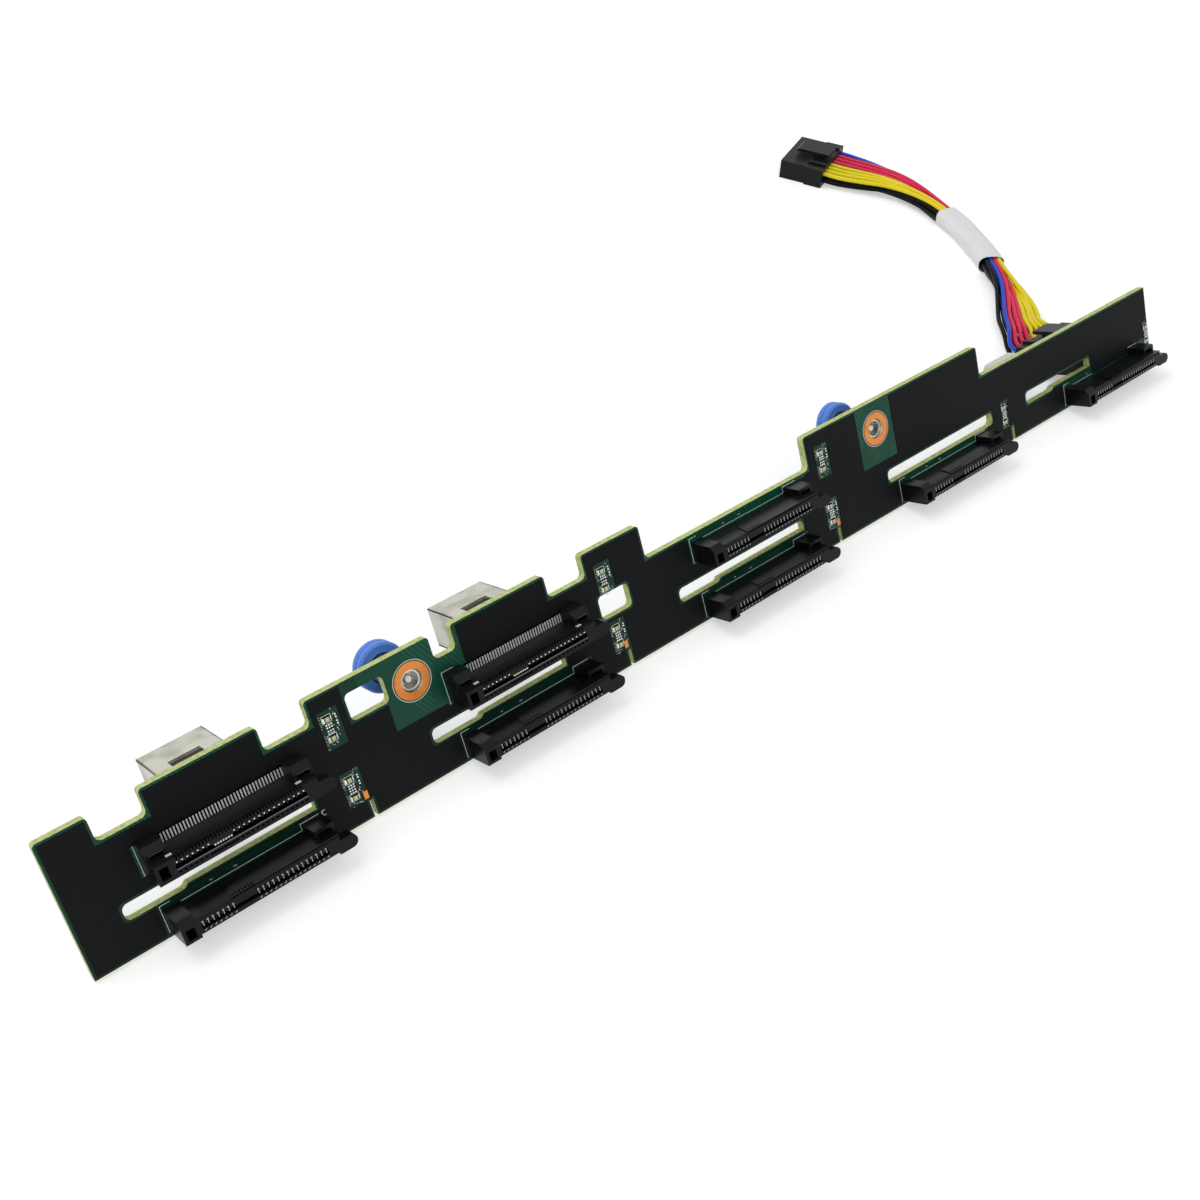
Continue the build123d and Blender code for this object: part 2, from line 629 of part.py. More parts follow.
def cable_cage(name, left):
    """A folded metal cage, open at the rear, round a contact block with a tongue."""
    place = seat(left + CAGE_WIDTH / 2, CAGE_TOP - CAGE_HEIGHT / 2, BOARD_THICKNESS)
    reach = CAGE_END - BOARD_THICKNESS
    inner_width, inner_height = CAGE_WIDTH - 2 * CAGE_SHEET, CAGE_HEIGHT - 2 * CAGE_SHEET
    with BuildPart() as cage:
        with BuildSketch(place):
            Rectangle(CAGE_WIDTH, CAGE_HEIGHT)
            Rectangle(inner_width, inner_height, mode=Mode.SUBTRACT)
        extrude(amount=-reach)
        latch = CAGE_LATCH_START + CAGE_LATCH_WIDTH / 2 - CAGE_WIDTH / 2
        latch_middle = CAGE_LATCH_DEPTH + CAGE_LATCH_LENGTH / 2
        vent = CAGE_VENTS_APART / 2
        with BuildSketch(looking_down(place, CAGE_HEIGHT / 2 - CAGE_SHEET)):
            with Locations((latch, latch_middle)):
                RectangleRounded(CAGE_LATCH_WIDTH, CAGE_LATCH_LENGTH, CAGE_SHEET)
            with Locations((latch - vent, CAGE_VENT_DEPTH), (latch + vent, CAGE_VENT_DEPTH)):
                SlotOverall(CAGE_VENT_LENGTH, CAGE_VENT_WIDTH)
        extrude(amount=CAGE_SHEET, mode=Mode.SUBTRACT)
    save(cage, f"cable_cage_{name}")
    with BuildPart() as block:
        with BuildSketch(place):
            Rectangle(inner_width - 2 * CAGE_BLOCK_GAP, inner_height - 2 * CAGE_BLOCK_GAP)
        extrude(amount=-CAGE_BLOCK_DEPTH)
        with BuildSketch(place):
            Rectangle(CAGE_TONGUE_WIDTH, CAGE_TONGUE_HEIGHT)
        extrude(amount=-CAGE_TONGUE_DEPTH)
    save(block, f"cage_contact_block_{name}")


cable_cage("left", CAGE_1)
cable_cage("right", CAGE_2)


def plug(place):
    """A two-row plug: its plane's origin is the middle of the wire face, its Z the way it mates."""
    beside = Plane(place.origin, x_dir=place.z_dir, z_dir=-place.x_dir)
    top = PLUG_HEIGHT / 2
    beam = top + LATCH_RISE - LATCH_THICKNESS
    with BuildPart() as body:
        with BuildSketch(place):
            Rectangle(COLLAR_WIDTH, PLUG_HEIGHT)
        extrude(amount=COLLAR_REACH)
        with BuildSketch(place):
            Rectangle(PLUG_WIDTH, PLUG_HEIGHT)
        extrude(amount=PLUG_LENGTH)
        with BuildSketch(place):
            with Locations((-RIB_OFFSET, top), (RIB_OFFSET, top)):
                Rectangle(RIB_WIDTH, 2 * RIB_HEIGHT)
        extrude(amount=COLLAR_REACH)
        with BuildSketch(beside):
            Polygon(
                (LATCH_POST_START, top),
                (LATCH_POST_START, beam),
                (LATCH_START, beam),
                (LATCH_START, beam + LATCH_THICKNESS),
                (LATCH_END - LATCH_THICKNESS, beam + LATCH_THICKNESS),
                (LATCH_END, beam),
                (LATCH_POST_END, beam),
                (LATCH_POST_END, top),
                align=None,
            )
        extrude(amount=LATCH_WIDTH / 2, both=True)
        with BuildSketch(place):
            with GridLocations(CIRCUIT_PITCH, CIRCUIT_PITCH, CIRCUITS, 2):
                Rectangle(CAVITY, CAVITY)
        extrude(amount=PLUG_LENGTH, mode=Mode.SUBTRACT)
    return body


PLUG_MIDDLE = PLUG_LOW + PLUG_HEIGHT / 2
power_place = seat(POWER_CENTRE, PLUG_MIDDLE, PLUG_END)
save(plug(power_place), "power_plug")

mouth_width, mouth_height = PLUG_WIDTH + 2 * HEADER_GAP, PLUG_HEIGHT + 2 * HEADER_GAP
header_back = seat(POWER_CENTRE, PLUG_MIDDLE, BOARD_THICKNESS)
with BuildPart() as power_header:
    with BuildSketch(header_back):
        Rectangle(mouth_width + 2 * HEADER_WALL, mouth_height + 2 * HEADER_WALL)
    extrude(amount=-HEADER_DEPTH)
    with BuildSketch(header_back.offset(-HEADER_DEPTH)):
        with Locations((0, mouth_height / 2 + HEADER_WALL)):
            Rectangle(LATCH_WIDTH, 2 * RIDGE_HEIGHT)
    extrude(amount=RIDGE_LENGTH)
    with BuildSketch(header_back.offset(-HEADER_FLOOR)):
        Rectangle(mouth_width, mouth_height)
    extrude(amount=HEADER_FLOOR - HEADER_DEPTH, mode=Mode.SUBTRACT)
    with BuildSketch(header_back):
        with GridLocations(CIRCUIT_PITCH, CIRCUIT_PITCH, CIRCUITS, 2):
            Rectangle(HEADER_PIN, HEADER_PIN)
    extrude(amount=-HEADER_FLOOR, mode=Mode.SUBTRACT)
save(power_header, "power_header")

with BuildPart() as power_pins:
    with BuildSketch(header_back):
        with GridLocations(CIRCUIT_PITCH, CIRCUIT_PITCH, CIRCUITS, 2):
            Rectangle(HEADER_PIN, HEADER_PIN)
    extrude(amount=-HEADER_PIN_DEPTH)
save(power_pins, "power_header_pins")

signal_back = seat(SIGNAL_CENTRE, (SIGNAL_LOW + SIGNAL_TOP) / 2, BOARD_THICKNESS)
signal_height = SIGNAL_TOP - SIGNAL_LOW
with BuildPart() as signal_header:
    with BuildSketch(signal_back):
        RectangleRounded(SIGNAL_WIDTH, signal_height, SIGNAL_CORNER)
    extrude(amount=-SIGNAL_DEPTH)
    with BuildSketch(signal_back.offset(-SIGNAL_FLOOR)):
        inner_width, inner_height = SIGNAL_WIDTH - 2 * SIGNAL_WALL, signal_height - 2 * SIGNAL_WALL
        RectangleRounded(inner_width, inner_height, SIGNAL_CORNER - SIGNAL_WALL)
    extrude(amount=SIGNAL_FLOOR - SIGNAL_DEPTH, mode=Mode.SUBTRACT)
    with BuildSketch(signal_back):
        with GridLocations(SIGNAL_PITCH, SIGNAL_PITCH, SIGNAL_PINS, 2):
            Rectangle(SIGNAL_PIN, SIGNAL_PIN)
    extrude(amount=-SIGNAL_FLOOR, mode=Mode.SUBTRACT)
save(signal_header, "signal_header")

with BuildPart() as signal_pins:
    with BuildSketch(signal_back):
        with GridLocations(SIGNAL_PITCH, SIGNAL_PITCH, SIGNAL_PINS, 2):
            Rectangle(SIGNAL_PIN, SIGNAL_PIN)
    extrude(amount=SIGNAL_FLOOR - SIGNAL_DEPTH)
save(signal_pins, "signal_header_pins")

with BuildPart() as lights:
    for middle, _, _, heights in LIGHTS:
        with BuildSketch(FRONT):
            with Locations(*[(middle, height) for height in heights]):
                Rectangle(LIGHT_SIZE[0], LIGHT_SIZE[1])
        extrude(amount=LIGHT_SIZE[2])
save(lights, "status_lights")

with BuildPart() as chips:
    for middle, width, _, heights in LIGHTS:
        with BuildSketch(FRONT):
            for height in heights:
                below = height - CHIP_DROP
                places = [(middle - CHIP_STEP, below), (middle + CHIP_STEP, below)]
                if width == LIGHT_WINDOW_WIDTH:
                    places += [(middle + CHIP_SIDE, height), (middle + CHIP_SIDE, below)]
                with Locations(*places):
                    Rectangle(CHIP_SIZE[1], CHIP_SIZE[0])
        extrude(amount=CHIP_SIZE[2])
save(chips, "light_resistors")

# The harness lies on the floor, from the power plug's wire face to the far plug's.
REAR_EDGE = SHIFT + BOARD_THICKNESS * RISE
BUNDLE_HEIGHT = BUNDLE_RADIUS + LABEL_SKIN + FLOOR_GAP


def on_floor(point, height):
    """A route point as a place in the model."""
    return (POWER_CENTRE + point[0] - BOARD_LENGTH / 2, REAR_EDGE + point[1], height)


route = [on_floor(point, BUNDLE_HEIGHT) for point in ROUTE]
runs = [Vector(*end) - Vector(*start) for start, end in zip(route, route[1:])]
bends = []
for before, after in zip(runs, runs[1:]):
    half_turn = radians(before.get_angle(after) / 2)
    bends.append(BEND_SHARE * min(before.length, after.length) / tan(half_turn))
print("harness bend radii", [round(bend, 1) for bend in bends])

turn = radians(FAR_PLUG_TURN)
far_axis = Vector(-sin(turn), cos(turn), 0)
far_place = Plane(
    on_floor(FAR_PLUG_PLACE, PLUG_HEIGHT / 2),
    x_dir=(-cos(turn), -sin(turn), 0),
    z_dir=far_axis,
)
save(plug(far_place), "far_plug")

with BuildPart() as harness:
    with BuildLine() as path:
        FilletPolyline(*route, radius=bends)
    with BuildSketch(Plane(path.line @ 0, z_dir=path.line % 0)):
        Circle(BUNDLE_RADIUS)
    sweep()
    split(bisect_by=power_place, keep=Keep.BOTTOM)
    split(bisect_by=far_place, keep=Keep.BOTTOM)
save(harness, "power_harness")

with BuildPart() as label:
    with BuildLine() as label_path:
        FilletPolyline(*route, radius=bends)
    with BuildSketch(Plane(label_path.line @ 0, z_dir=label_path.line % 0)):
        Circle(BUNDLE_RADIUS + LABEL_SKIN)
        Circle(BUNDLE_RADIUS, mode=Mode.SUBTRACT)
    sweep()
    centreline = label_path.wire()
    for length, kept in ((LABEL_START, Keep.TOP), (LABEL_START + LABEL_LENGTH, Keep.BOTTOM)):
        end = centreline.position_at(length, position_mode=PositionMode.LENGTH)
        heading = centreline.tangent_at(length, position_mode=PositionMode.LENGTH)
        split(bisect_by=Plane(end, z_dir=heading), keep=kept)
save(label, "cable_label")
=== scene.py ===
"""Looks for a drive backplane board with its sockets, pull plungers, cable cages and power harness."""

import logging
import math
from collections.abc import Sequence
from dataclasses import dataclass
from enum import Enum
from functools import reduce

import bpy
import numpy as np
from mathutils import Matrix, Vector


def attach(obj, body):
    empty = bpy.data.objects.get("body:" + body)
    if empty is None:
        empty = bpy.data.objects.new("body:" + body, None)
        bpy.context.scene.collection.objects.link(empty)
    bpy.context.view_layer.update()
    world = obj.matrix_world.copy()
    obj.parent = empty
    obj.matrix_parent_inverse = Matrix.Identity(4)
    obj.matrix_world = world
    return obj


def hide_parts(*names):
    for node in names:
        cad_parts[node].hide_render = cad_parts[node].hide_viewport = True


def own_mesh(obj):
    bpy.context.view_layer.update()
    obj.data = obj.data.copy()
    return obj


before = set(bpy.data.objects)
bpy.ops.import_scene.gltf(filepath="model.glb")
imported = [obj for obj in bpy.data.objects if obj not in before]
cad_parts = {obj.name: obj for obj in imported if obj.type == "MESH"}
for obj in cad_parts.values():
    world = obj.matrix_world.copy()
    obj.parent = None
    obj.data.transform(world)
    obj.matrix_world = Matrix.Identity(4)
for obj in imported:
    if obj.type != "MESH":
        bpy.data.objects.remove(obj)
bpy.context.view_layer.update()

LOG = logging.getLogger("backplane")
MM = 0.001
ROOT_BODY = "backplane"
Socket = bpy.types.NodeSocket
Colour = tuple[float, float, float, float]
Place = tuple[float, float]
Triple = tuple[float, float, float]
Area = tuple[float, float, float, float]
Range = tuple[float, float, float, float, float, float]
Rows = np.ndarray | Sequence[tuple[float, ...]]
Faces = list[tuple[int, ...]]


def tint(red: int, green: int, blue: int) -> Colour:
    """Turns a colour written from 0 to 255 into the linear values that shaders use.

    The curve is the usual one for screens: a straight stretch near black, and above it a power of 2.4.

    Args:
        red: The red share.
        green: The green share.
        blue: The blue share.

    Returns:
        The linear colour with full alpha.
    """
    parts = [share / 255 for share in (red, green, blue)]
    bent = [p / 12.92 if p <= 0.04045 else ((p + 0.055) / 1.055) ** 2.4 for p in parts]
    return (bent[0], bent[1], bent[2], 1.0)


def smooth_step(value: np.ndarray, low: float, high: float) -> np.ndarray:
    """Rises smoothly from 0 at low to 1 at high, as 3t squared less 2t cubed."""
    t = np.clip((value - low) / (high - low), 0, 1)
    return t * t * (3 - 2 * t)


@dataclass(frozen=True)
class BoardFrame:
    """The leaning board's own axes, in metres: x along it, y up it and z out of its front face."""

    length: float = 399.5 * MM
    thickness: float = 2.4 * MM
    plug_low: float = 10.1 * MM
    plug_end: float = 24.0 * MM
    front_reach: float = 9.4 * MM
    socket_base: float = 1.2 * MM
    knob_top: float = 34.2 * MM
    knob_end: float = 18.8 * MM

    @property
    def lean(self) -> float:
        """The angle by which the board leans back, in radians."""
        return math.atan(self.plug_low / (self.plug_end - self.thickness))

    @property
    def along(self) -> np.ndarray:
        """The direction along the board."""
        return np.array([1.0, 0.0, 0.0])

    @property
    def up(self) -> np.ndarray:
        """The direction up the board."""
        return np.array([0.0, math.sin(self.lean), math.cos(self.lean)])

    @property
    def out(self) -> np.ndarray:
        """The direction out of the front face."""
        return np.array([0.0, -math.cos(self.lean), math.sin(self.lean)])

    @property
    def origin(self) -> np.ndarray:
        """The lower left corner of the front face.

        Returns:
            A point in metres: the board is centred along its length and between its sockets and its knobs.
        """
        rise, run = math.cos(self.lean), math.sin(self.lean)
        front = self.socket_base * run - self.front_reach * rise
        rear = self.knob_top * run + self.knob_end * rise
        return np.array([-self.length / 2, -(front + rear) / 2, self.thickness * run])

    def place(self, points: np.ndarray) -> np.ndarray:
        """Puts points that are given on the board into the model.

        Args:
            points: An array of x, y and z in millimetres along, up and out of the board.

        Returns:
            The same points in metres in the model's frame.
        """
        local = np.asarray(points, float) * MM
        return self.origin + local @ np.stack([self.along, self.up, self.out])


@dataclass(frozen=True)
class Layout:
    """Where the sockets and the plungers stand, in millimetres from the board's lower left corner."""

    first_socket: float = 18.5
    column_pitch: float = 83.0
    row_pitch: float = 16.8
    columns: int = 5
    wide_columns: int = 2
    plungers: tuple[Place, ...] = ((93.6, 27.5), (261.6, 27.5))

    def corner(self, column: int, row: int) -> Place:
        """The lower left corner of the socket in a column and a row."""
        return (self.first_socket + column * self.column_pitch, row * self.row_pitch)

    @property
    def small(self) -> list[Place]:
        """The corners of the sockets with 29 contacts: the whole lower row, and one beside the wide ones."""
        lower = [self.corner(column, 0) for column in range(self.columns)]
        return lower + [self.corner(self.wide_columns, 1)]

    @property
    def wide(self) -> list[Place]:
        """The corners of the sockets with 68 contacts, in the upper row's first columns."""
        return [self.corner(column, 1) for column in range(self.wide_columns)]


BOARD = BoardFrame()
LAYOUT = Layout()


@dataclass(frozen=True)
class Surface:
    """A mesh in the making: its points, its faces and the number of each face's finish."""

    points: np.ndarray
    faces: Faces
    finishes: list[int]

    @staticmethod
    def plain(points: np.ndarray, faces: Faces, finish: int = 0) -> "Surface":
        """A surface with one finish on all its faces."""
        return Surface(points, faces, [finish] * len(faces))

    @staticmethod
    def joined(parts: list["Surface"]) -> "Surface":
        """Puts several surfaces into one, one after another.

        Args:
            parts: The surfaces, whose finishes already have the numbers of the whole.

        Returns:
            One surface with all points and faces.
        """
        points, faces, finishes, start = [], [], [], 0
        for part in parts:
            points.append(part.points)
            faces += [tuple(corner + start for corner in face) for face in part.faces]
            finishes += part.finishes
            start += len(part.points)
        return Surface(np.concatenate(points), faces, finishes)


def unit(rows: np.ndarray) -> np.ndarray:
    """Each row divided by its own length."""
    return rows / np.linalg.norm(rows, axis=1, keepdims=True)


def full_turn(sides: int) -> np.ndarray:
    """Equal angles round a whole turn, from nought to one step short of it."""
    return np.linspace(0, 2 * math.pi, sides, endpoint=False)


def as_faces(corners: np.ndarray) -> Faces:
    """The rows of an array of point numbers, as faces."""
    return [tuple(face) for face in corners.tolist()]


def grid_faces(rows: int, columns: int, closed: bool) -> np.ndarray:
    """The quads of a grid of points, each from a point, the one beside it and the two in the next row.

    Args:
        rows: How many rows of points there are.
        columns: How many points a row has; each row closes on itself.
        closed: Whether the last row also joins the first.

    Returns:
        The point numbers of each quad.
    """
    steps = rows if closed else rows - 1
    row, column = np.meshgrid(np.arange(steps), np.arange(columns), indexing="ij")
    after, beside = (row + 1) % rows * columns, (column + 1) % columns
    here = row * columns
    return np.stack([here + column, here + beside, after + beside, after + column], -1).reshape(-1, 4)


def capped_faces(rings: int, sides: int) -> Faces:
    """The quads between rings of points, with a cap on the first ring and one on the last.

    Args:
        rings: How many rings there are.
        sides: How many points a ring has.

    Returns:
        The faces of the closed shape.
    """
    last = (rings - 1) * sides
    caps = [tuple(reversed(range(sides))), tuple(range(last, last + sides))]
    return as_faces(grid_faces(rings, sides, False)) + caps


def tube(path: np.ndarray, radius: float, sides: int, finish: int = 0) -> Surface:
    """Carries a circle along a path: each point is the path's plus radius times a turning normal.

    Args:
        path: The points that the middle follows, as rows of x, y and z.
        radius: The radius of the tube.
        sides: The number of points round it.
        finish: The number of the finish on all its faces.

    Returns:
        A closed tube with a cap at each end.
    """
    ahead = unit(np.gradient(path, axis=0))
    side = unit(np.cross(ahead, [0.0, 0.0, 1.0]))
    above = np.cross(side, ahead)
    angle = full_turn(sides)[:, None]
    ring = side[:, None] * np.cos(angle) + above[:, None] * np.sin(angle)
    points = (path[:, None] + radius * ring).reshape(-1, 3)
    return Surface.plain(points, capped_faces(len(path), sides), finish)


BOX_FACES = ((0, 3, 2, 1), (4, 5, 6, 7), (0, 1, 5, 4), (1, 2, 6, 5), (2, 3, 7, 6), (3, 0, 4, 7))
BOX_CORNERS = 8


def blocks(ranges: Rows, finish: int = 0) -> Surface:
    """Makes a box for each row of ranges on the board, with a corner at each choice of lower or upper value.

    Args:
        ranges: Rows of lower and upper x, y and z in millimetres along, up and out of the board.
        finish: The number of the finish on all faces.

    Returns:
        All boxes as one surface, in the model's frame.
    """
    left, right, low, top, back, front = np.asarray(ranges, float).T
    x = np.stack([left, right, right, left] * 2, -1)
    y = np.stack([low, low, top, top] * 2, -1)
    z = np.stack([back] * 4 + [front] * 4, -1)
    points = BOARD.place(np.stack([x, y, z], -1).reshape(-1, 3))
    starts = BOX_CORNERS * np.arange(len(left))[:, None, None]
    return Surface.plain(points, as_faces((np.array(BOX_FACES) + starts).reshape(-1, 4)), finish)


def slabs(areas: Rows, low: float, high: float, finish: int = 0) -> Surface:
    """Raises each rectangle on the board into a box between two heights.

    Args:
        areas: Rows of left, right, lower and upper edge in millimetres.
        low: The height of the underside over the front face.
        high: The height of the top.
        finish: The number of the finish on all faces.

    Returns:
        All boxes as one surface, in the model's frame.
    """
    areas = np.asarray(areas, float)
    heights = np.broadcast_to([low, high], (len(areas), 2))
    return blocks(np.concatenate([areas, heights], axis=1), finish)


def beads(middles: Rows, radius: float, finish: int = 0) -> Surface:
    """A ball at each place: rings at equal angles from pole to pole, closed by a point at each end.

    Args:
        middles: Rows of x, y and z in millimetres on the board.
        radius: The radius in millimetres.
        finish: The number of the finish on all faces.

    Returns:
        All balls as one surface, in the model's frame.
    """
    sides, rows = 10, 5
    turn = full_turn(sides)
    rise = np.linspace(-math.pi / 2, math.pi / 2, rows + 2)[1:-1, None]
    ring = [np.cos(rise) * np.cos(turn), np.cos(rise) * np.sin(turn), np.sin(rise) + 0 * turn]
    ball = np.concatenate([np.stack(ring, -1).reshape(-1, 3), [[0, 0, -1], [0, 0, 1]]]) * radius
    here, beside = np.arange(sides), (np.arange(sides) + 1) % sides
    pole, last = rows * sides, (rows - 1) * sides
    low_cap = np.stack([np.full(sides, pole), beside, here], -1)
    high_cap = np.stack([np.full(sides, pole + 1), last + here, last + beside], -1)
    starts = len(ball) * np.arange(len(middles))[:, None, None]
    quads = (grid_faces(rows, sides, False) + starts).reshape(-1, 4)
    caps = (np.concatenate([low_cap, high_cap]) + starts).reshape(-1, 3)
    points = BOARD.place((np.asarray(middles, float)[:, None] + ball).reshape(-1, 3))
    return Surface.plain(points, as_faces(quads) + as_faces(caps), finish)


def collar(middle: Place, inner: float, outer: float, low: float, high: float) -> Surface:
    """Turns a small rectangle about a place on the board: a flat ring with square edges.

    Args:
        middle: The place on the board, in millimetres.
        inner: The inner radius.
        outer: The outer radius.
        low: The height of the underside.
        high: The height of the top.

    Returns:
        A closed ring in the model's frame.
    """
    sides = 72
    angle = full_turn(sides)[:, None]
    radius = np.array([inner, outer, outer, inner])
    height = np.array([low, low, high, high])
    x = middle[0] + np.cos(angle) * radius
    y = middle[1] + np.sin(angle) * radius
    points = BOARD.place(np.stack([x, y, np.broadcast_to(height, x.shape)], -1).reshape(-1, 3))
    return Surface.plain(points, as_faces(grid_faces(sides, len(radius), True)[:, ::-1]))


class Graph:
    """A node tree in the making, with short calls that add nodes and join them."""

    def __init__(self, tree: bpy.types.NodeTree) -> None:
        """Starts on a tree."""
        self.tree = tree

    def add(self, kind: str, **settings: object) -> bpy.types.Node:
        """Adds a node.

        Args:
            kind: The kind of node.
            settings: The properties to set on it.

        Returns:
            The new node.
        """
        node = self.tree.nodes.new(kind)
        for name, value in settings.items():
            setattr(node, name, value)
        return node

    def feed(self, target: Socket, value: object) -> None:
        """Joins a socket to another, or gives it a plain value.

        Args:
            target: The socket that is fed.
            value: Another node's socket, or a number, a colour or a direction.
        """
        if isinstance(value, bpy.types.NodeSocket):
            self.tree.links.new(value, target)
        else:
            target.default_value = value

    def maths(self, operation: str, first: object, second: object = 0.0, clamp: bool = False) -> Socket:
        """One step of arithmetic.

        Args:
            operation: The name of the step.
            first: The first value.
            second: The second value, where the step takes one.
            clamp: Whether the result is held between 0 and 1.

        Returns:
            The result.
        """
        node = self.add("ShaderNodeMath", operation=operation, use_clamp=clamp)
        self.feed(node.inputs[0], first)
        self.feed(node.inputs[1], second)
        return node.outputs[0]

    def product(self, *factors: object) -> Socket:
        """All factors multiplied together."""
        return reduce(lambda first, second: self.maths("MULTIPLY", first, second), factors)

    def between(
        self, value: object, low: float, high: float, start: float = 0.0, end: float = 1.0
    ) -> Socket:
        """Maps a value smoothly from one range to another, and holds it at both ends.

        Args:
            value: The value.
            low: Where the first range starts.
            high: Where the first range ends.
            start: The result at low.
            end: The result at high.

        Returns:
            The mapped value.
        """
        node = self.add("ShaderNodeMapRange", interpolation_type="SMOOTHSTEP")
        for slot, given in zip(node.inputs[:5], (value, low, high, start, end)):
            self.feed(slot, given)
        return node.outputs[0]

    def blend(self, share: object, first: object, second: object) -> Socket:
        """Mixes two colours, through the node's colour sockets, which stand behind those for numbers.

        Args:
            share: The second colour's share.
            first: The colour at a share of 0.
            second: The colour at a share of 1.

        Returns:
            The mixed colour.
        """
        node = self.add("ShaderNodeMix", data_type="RGBA")
        self.feed(node.inputs[0], share)
        self.feed(node.inputs[6], first)
        self.feed(node.inputs[7], second)
        return node.outputs[2]

    def noise(self, where: Socket, scale: float, detail: float = 3.0) -> Socket:
        """Soft noise.

        Args:
            where: The coordinates that it lies in.
            scale: How many turns it has to the metre.
            detail: How many finer layers it has.

        Returns:
            The noise, from 0 to 1.
        """
        node = self.add("ShaderNodeTexNoise")
        self.feed(node.inputs["Vector"], where)
        self.feed(node.inputs["Scale"], scale)
        self.feed(node.inputs["Detail"], detail)
        return node.outputs["Fac"]

    def stretched(self, scale: Triple, turn: Triple = (0.0, 0.0, 0.0)) -> Socket:
        """The piece's own coordinates, stretched along each axis and then turned.

        Args:
            scale: The stretch along each axis.
            turn: The turn about each axis, in radians.

        Returns:
            The changed coordinates.
        """
        mapping = self.add("ShaderNodeMapping")
        self.feed(mapping.inputs["Vector"], self.where())
        self.feed(mapping.inputs["Rotation"], turn)
        self.feed(mapping.inputs["Scale"], scale)
        return mapping.outputs[0]

    def group(self, tree: bpy.types.NodeTree, **values: object) -> bpy.types.Node:
        """Places a node group.

        Args:
            tree: The group's own tree.
            values: What its named inputs are fed.

        Returns:
            The node that holds the group.
        """
        node = self.add("ShaderNodeGroup", node_tree=tree)
        for name, value in values.items():
            self.feed(node.inputs[name], value)
        return node

    def where(self) -> Socket:
        """The piece's own coordinates, in metres."""
        return self.add("ShaderNodeTexCoord").outputs["Object"]


class Effects:
    """The effects that several finishes share, each a node group that is built once."""

    built: dict[str, bpy.types.NodeTree] = {}
    finer: float = 3.1
    finer_share: float = 0.5
    scuff_turn: Triple = (0.4, 0.3, 0.7)
    scuff_stretch: Triple = (1.0, 9.0, 9.0)
    scuff_scale: float = 260.0
    patch_scale: float = 45.0

    @classmethod
    def start(
        cls, name: str, inputs: tuple[str, ...], outputs: tuple[str, ...]
    ) -> tuple[Graph, dict[str, Socket], dict[str, Socket]]:
        """Opens a new group with named value sockets.

        Args:
            name: The group's name.
            inputs: The names of its inputs.
            outputs: The names of its outputs.

        Returns:
            The graph, the sockets that bring values in and the sockets that take results out.
        """
        tree = bpy.data.node_groups.new(name, "ShaderNodeTree")
        cls.built[name] = tree
        for label in inputs:
            tree.interface.new_socket(name=label, in_out="INPUT", socket_type="NodeSocketFloat")
        for label in outputs:
            tree.interface.new_socket(name=label, in_out="OUTPUT", socket_type="NodeSocketFloat")
        graph = Graph(tree)
        arriving = graph.add("NodeGroupInput").outputs
        leaving = graph.add("NodeGroupOutput").inputs
        bringing = {label: arriving[label] for label in inputs}
        return graph, bringing, {label: leaving[label] for label in outputs}

    @classmethod
    def board_place(cls) -> bpy.types.NodeTree:
        """Where a point lies on the board, in millimetres: its place less the origin, along each axis.

        Returns:
            The group, with Length, Height and Depth as its outputs.
        """
        name = "place_on_board"
        if name not in cls.built:
            graph, _, leaving = cls.start(name, (), ("Length", "Height", "Depth"))
            where = graph.where()
            for label, axis in (("Length", BOARD.along), ("Height", BOARD.up), ("Depth", BOARD.out)):
                dot = graph.add("ShaderNodeVectorMath", operation="DOT_PRODUCT")
                graph.feed(dot.inputs[0], where)
                graph.feed(dot.inputs[1], tuple(axis / MM))
                start = float(BOARD.origin @ axis) / MM
                graph.feed(leaving[label], graph.maths("SUBTRACT", dot.outputs["Value"], start))
        return cls.built[name]

    @classmethod
    def fine_grain(cls) -> bpy.types.NodeTree:
        """The grain of a moulded or pressed face: noise at a size and half as much at about a third of it.

        Returns:
            The group, with Size in metres as its input and Height and Tone as its outputs.
        """
        name = "fine_grain"
        if name not in cls.built:
            graph, arriving, leaving = cls.start(name, ("Size",), ("Height", "Tone"))
            where = graph.where()
            scale = graph.maths("DIVIDE", 1.0, arriving["Size"])
            coarse = graph.noise(where, scale, 2.0)
            fine = graph.noise(where, graph.product(scale, cls.finer), 2.0)
            graph.feed(leaving["Height"], graph.maths("ADD", coarse, graph.product(fine, cls.finer_share)))
            graph.feed(leaving["Tone"], graph.between(coarse, 0.3, 0.7))
        return cls.built[name]

    @classmethod
    def handling(cls) -> bpy.types.NodeTree:
        """Faint scuffs and dust: stretched noise where a broad, soft noise lets it through.

        Returns:
            The group, with Amount as its input and Mask as its output.
        """
        name = "handling_marks"
        if name not in cls.built:
            graph, arriving, leaving = cls.start(name, ("Amount",), ("Mask",))
            stretched = graph.stretched(cls.scuff_stretch, cls.scuff_turn)
            lines = graph.between(graph.noise(stretched, cls.scuff_scale, 4.0), 0.56, 0.74)
            patches = graph.between(graph.noise(graph.where(), cls.patch_scale, 2.0), 0.45, 0.7)
            mask = graph.product(lines, patches)
            graph.feed(leaving["Mask"], graph.maths("MULTIPLY", mask, arriving["Amount"], True))
        return cls.built[name]


